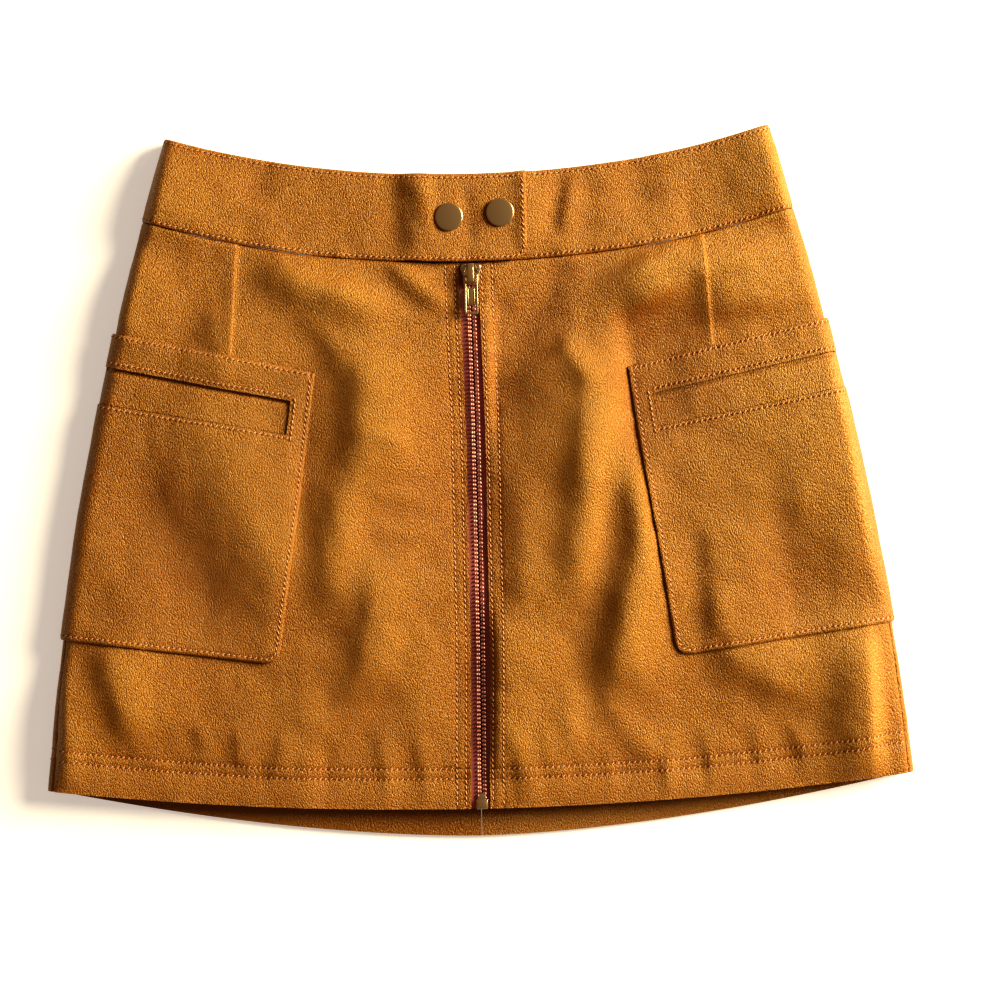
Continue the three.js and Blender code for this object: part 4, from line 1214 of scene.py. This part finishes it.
class SKIRT_OT_zip_metal(bpy.types.Operator):
    """Make the slider with its bail, the pull and the retainer"""
    bl_idname = "skirt.zip_metal"
    bl_label = "Zip slider, pull and retainer"

    def execute(self, context):
        hinge = next(joint for joint in frame["record"]["behaviour"]["joints"] if joint["child"] == "pull")
        place = hinge["pos_m"]
        low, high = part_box("zip_slider")
        reach = [((a - c) / MM, (b - c) / MM) for a, b, c in zip(low, high, place)]
        slider = object_of("slider_and_bail", joined(self.slider(reach), place), 40)
        dress(slider, finish_of("antique_brass"), "garment", ["zip_slider"])
        pull = object_of("pull_tab", joined(self.pull(), place), 40)
        dress(pull, finish_of("antique_brass"), "pull", ["zip_pull"])
        retainer = object_of("retainer_box", joined(self.retainer()), 40)
        dress(retainer, finish_of("antique_brass"), "garment", ["zip_retainer"])
        return {"FINISHED"}

    def slider(self, reach):
        """Plate, core, two raised shoulders and the bail, from the pull's pivot."""
        foot, top = reach[1]
        deep = reach[2][0]
        upper = -1.4
        lower = upper - 1.3
        edge = [(-4.4, foot), (4.4, foot), (4.4, 0), (6.2, top / 2), (6.2, top - 1.7), (4.7, top - 0.2)]
        outline = edge + [(-x, y) for x, y in edge[:1:-1]]
        # The plate and the core under the pull get a high share: painted shade under the pull, with some antique patina
        parts = [
            (plate(outline, lower, upper - 0.5, 0.3), 0.8),
            (box((-2.9, foot + 0.3, deep), (2.9, top - 0.3, lower + 0.2), 0.3), 0.8),
        ]
        for side in (-1, 1):
            lobe = [(side * x, y) for x, y in LOBE]
            parts.append((plate(lobe[::side], lower + 0.4, upper + 0.25, 0.6), 0.05))
            parts.append((box((side * 4.1 - 0.4, foot + 0.2, upper - 0.7), (side * 4.1 + 0.4, 1.2, upper + 0.1), 0.3), 0.3))
        arch = [(-1.85, y, z) for y, z in BAIL]
        parts.append((raised(arch, (3.7, 0, 0), 0.42, all_edges=True), 0.0))
        return parts

    def pull(self):
        """A frame round an eye and a slot, with a plain plate between two ridges."""
        # Share higher on the sunk plate and the foot bar, low on the raised plate, rails and ridges: antique patina in
        # part, painted shade in part
        parts = [
            (box((-3.9, -0.8, -0.8), (3.9, 0.8, 0.8), 0.35), 0.1),
            (box((-3.7, -PULL_LENGTH, -0.8), (3.7, 1.6 - PULL_LENGTH, 0.7), 0.4), 0.55),
            (box((-3.2, -17.4, -0.62), (3.2, -7.2, 0.25), 0.2), 0.45),
            (box((-1.6, -16.8, 0), (1.6, -7.8, 0.55), 0.2), 0.05),
        ]
        for side in (-1, 1):
            rail = [(side * x, y) for x, y in RAIL]
            parts.append((plate(rail[::side], -0.8, 0.8, 0.35), 0.0))
            parts.append((box((side * 1.9 - 0.32, -17.1, 0), (side * 1.9 + 0.32, -7.5, 0.8), 0.25), 0.0))
        return parts

    def retainer(self):
        low, high = (Vector(corner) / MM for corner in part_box("zip_retainer"))
        top = high.z
        # Share darker on the body and side lip, none on the top plate: antique patina in part, painted shade in part
        return [
            (box(low, high, 0.5), 0.25),
            (box((low.x + 0.8, high.y - 0.2, top - 2.2), (high.x - 1.2, high.y + 3.4, top - 0.5), 0.4), 0.5),
            (box((low.x + 0.9, low.y + 1.0, top - 0.2), (high.x - 0.9, high.y - 1.1, top + 0.18), 0.15), 0.0),
        ]


class SKIRT_OT_snaps(bpy.types.Operator):
    """Make the two snap caps on the tab"""
    bl_idname = "skirt.snaps"
    bl_label = "Snap caps"

    def execute(self, context):
        for k in (1, 2):
            low, high = (Vector(corner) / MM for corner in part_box(f"snap_cap_{k}"))
            middle = (low + high) / 2
            radius = sizes().snap_radius
            bm = bmesh.new()
            profile = [(0, 0.1), (radius - 0.6, 0), (radius - 0.1, 0.25), (radius, 0.6), (radius - 0.15, 0.95),
                       (radius - 0.5, 1.15), (radius - 1.2, 1.26), (radius * 0.6, 1.45), (radius * 0.3, 1.6), (0, 1.66)]
            verts = [bm.verts.new((a, 0, b)) for a, b in profile]
            edges = [bm.edges.new(pair) for pair in zip(verts, verts[1:])]
            bmesh.ops.spin(bm, geom=verts + edges, cent=(0, 0, 0), axis=(0, 0, 1), angle=math.tau,
                           steps=sizes().snap_steps, use_merge=True)
            bmesh.ops.remove_doubles(bm, verts=bm.verts[:], dist=1e-4)
            bmesh.ops.recalc_face_normals(bm, faces=bm.faces[:])
            bmesh.ops.translate(bm, vec=(middle.x, middle.y, low.z), verts=bm.verts)
            piece = object_of(f"snap_{k}", joined([(bm, 0.12)]), 50)
            dress(piece, finish_of("antique_brass"), "garment", [f"snap_cap_{k}"])
        return {"FINISHED"}


class SKIRT_OT_stage(bpy.types.Operator):
    """Make the floor, the lights and the camera above the skirt"""
    bl_idname = "skirt.stage"
    bl_label = "Stage"

    def execute(self, context):
        scene = context.scene
        bm = bmesh.new()
        bmesh.ops.create_grid(bm, x_segments=2, y_segments=2, size=4)
        floor = object_of("floor", bm)
        bmesh_floor = floor.data
        bmesh_floor.transform(Matrix.Translation((0, 0, -0.0004)))
        material, tree, shader = new_material("floor")
        shader.inputs["Base Color"].default_value = (0.92, 0.92, 0.92, 1)
        shader.inputs["Roughness"].default_value = 0.9
        shader.inputs["Emission Color"].default_value = (1.0, 0.97, 0.93, 1)
        shader.inputs["Emission Strength"].default_value = 0.30
        floor.data.materials.append(material)

        world = bpy.data.worlds.new("studio")
        world.use_nodes = True
        world.node_tree.nodes["Background"].inputs["Color"].default_value = (1.0, 0.70, 0.46, 1)
        world.node_tree.nodes["Background"].inputs["Strength"].default_value = 0.19
        scene.world = world
        elevation = math.radians(21)
        swing = math.radians(20)
        reach = 3.2
        place = Vector((math.cos(elevation) * math.cos(swing), math.cos(elevation) * math.sin(swing), math.sin(elevation)))
        self.light("window", place * reach, 1.8, 280.0, (1.0, 0.90, 0.60))
        scene.view_settings.view_transform = "Standard"
        scene.view_settings.look = "High Contrast"

        data = bpy.data.cameras.new("above")
        camera = bpy.data.objects.new("above", data)
        context.collection.objects.link(camera)
        height = 1.5
        view_width = 0.6
        view_level = 0.012
        data.sensor_width = 36
        data.lens = 36 * (height - view_level) / view_width
        camera.location = (0.0154, -0.0110, height)
        camera.rotation_euler = (0, 0, math.radians(-1.3))
        scene.camera = camera
        return {"FINISHED"}

    def light(self, name, place, size, power, colour):
        data = bpy.data.lights.new(name, "AREA")
        data.shape = "DISK"
        data.size = size
        data.energy = power
        data.color = colour
        lamp = bpy.data.objects.new(name, data)
        bpy.context.collection.objects.link(lamp)
        lamp.location = place
        lamp.rotation_euler = (-Vector(place)).to_track_quat("-Z", "Y").to_euler()


class SKIRT_PT_panel(bpy.types.Panel):
    """Lists the skirt's pieces, sizes and colours"""
    bl_label = "Leather skirt"
    bl_idname = "SKIRT_PT_panel"
    bl_space_type = "VIEW_3D"
    bl_region_type = "UI"
    bl_category = "Skirt"

    def draw(self, context):
        for group in (context.scene.skirt_sizes, context.scene.skirt_colours):
            for name in group.__annotations__:
                self.layout.prop(group, name)
        for operator in OPERATORS:
            self.layout.operator(operator.bl_idname)


OPERATORS = (
    SKIRT_OT_stage,
    SKIRT_OT_fronts,
    SKIRT_OT_backs,
    SKIRT_OT_waistband,
    SKIRT_OT_pockets,
    SKIRT_OT_sewing,
    SKIRT_OT_zip_line,
    SKIRT_OT_zip_metal,
    SKIRT_OT_snaps,
)
CLASSES = (SkirtSizes, SkirtColours, *OPERATORS, SKIRT_PT_panel)


def register():
    for cls in CLASSES:
        bpy.utils.register_class(cls)
    bpy.types.Scene.skirt_sizes = PointerProperty(type=SkirtSizes)
    bpy.types.Scene.skirt_colours = PointerProperty(type=SkirtColours)


def unregister():
    del bpy.types.Scene.skirt_colours
    del bpy.types.Scene.skirt_sizes
    for cls in reversed(CLASSES):
        bpy.utils.unregister_class(cls)


def main():
    register()
    bpy.ops.skirt.stage()
    bpy.ops.skirt.fronts()
    bpy.ops.skirt.backs()
    bpy.ops.skirt.waistband()
    bpy.ops.skirt.pockets()
    bpy.ops.skirt.sewing()
    bpy.ops.skirt.zip_line()
    bpy.ops.skirt.zip_metal()
    bpy.ops.skirt.snaps()
    bpy.context.view_layer.update()


if __name__ == "__main__":
    main()
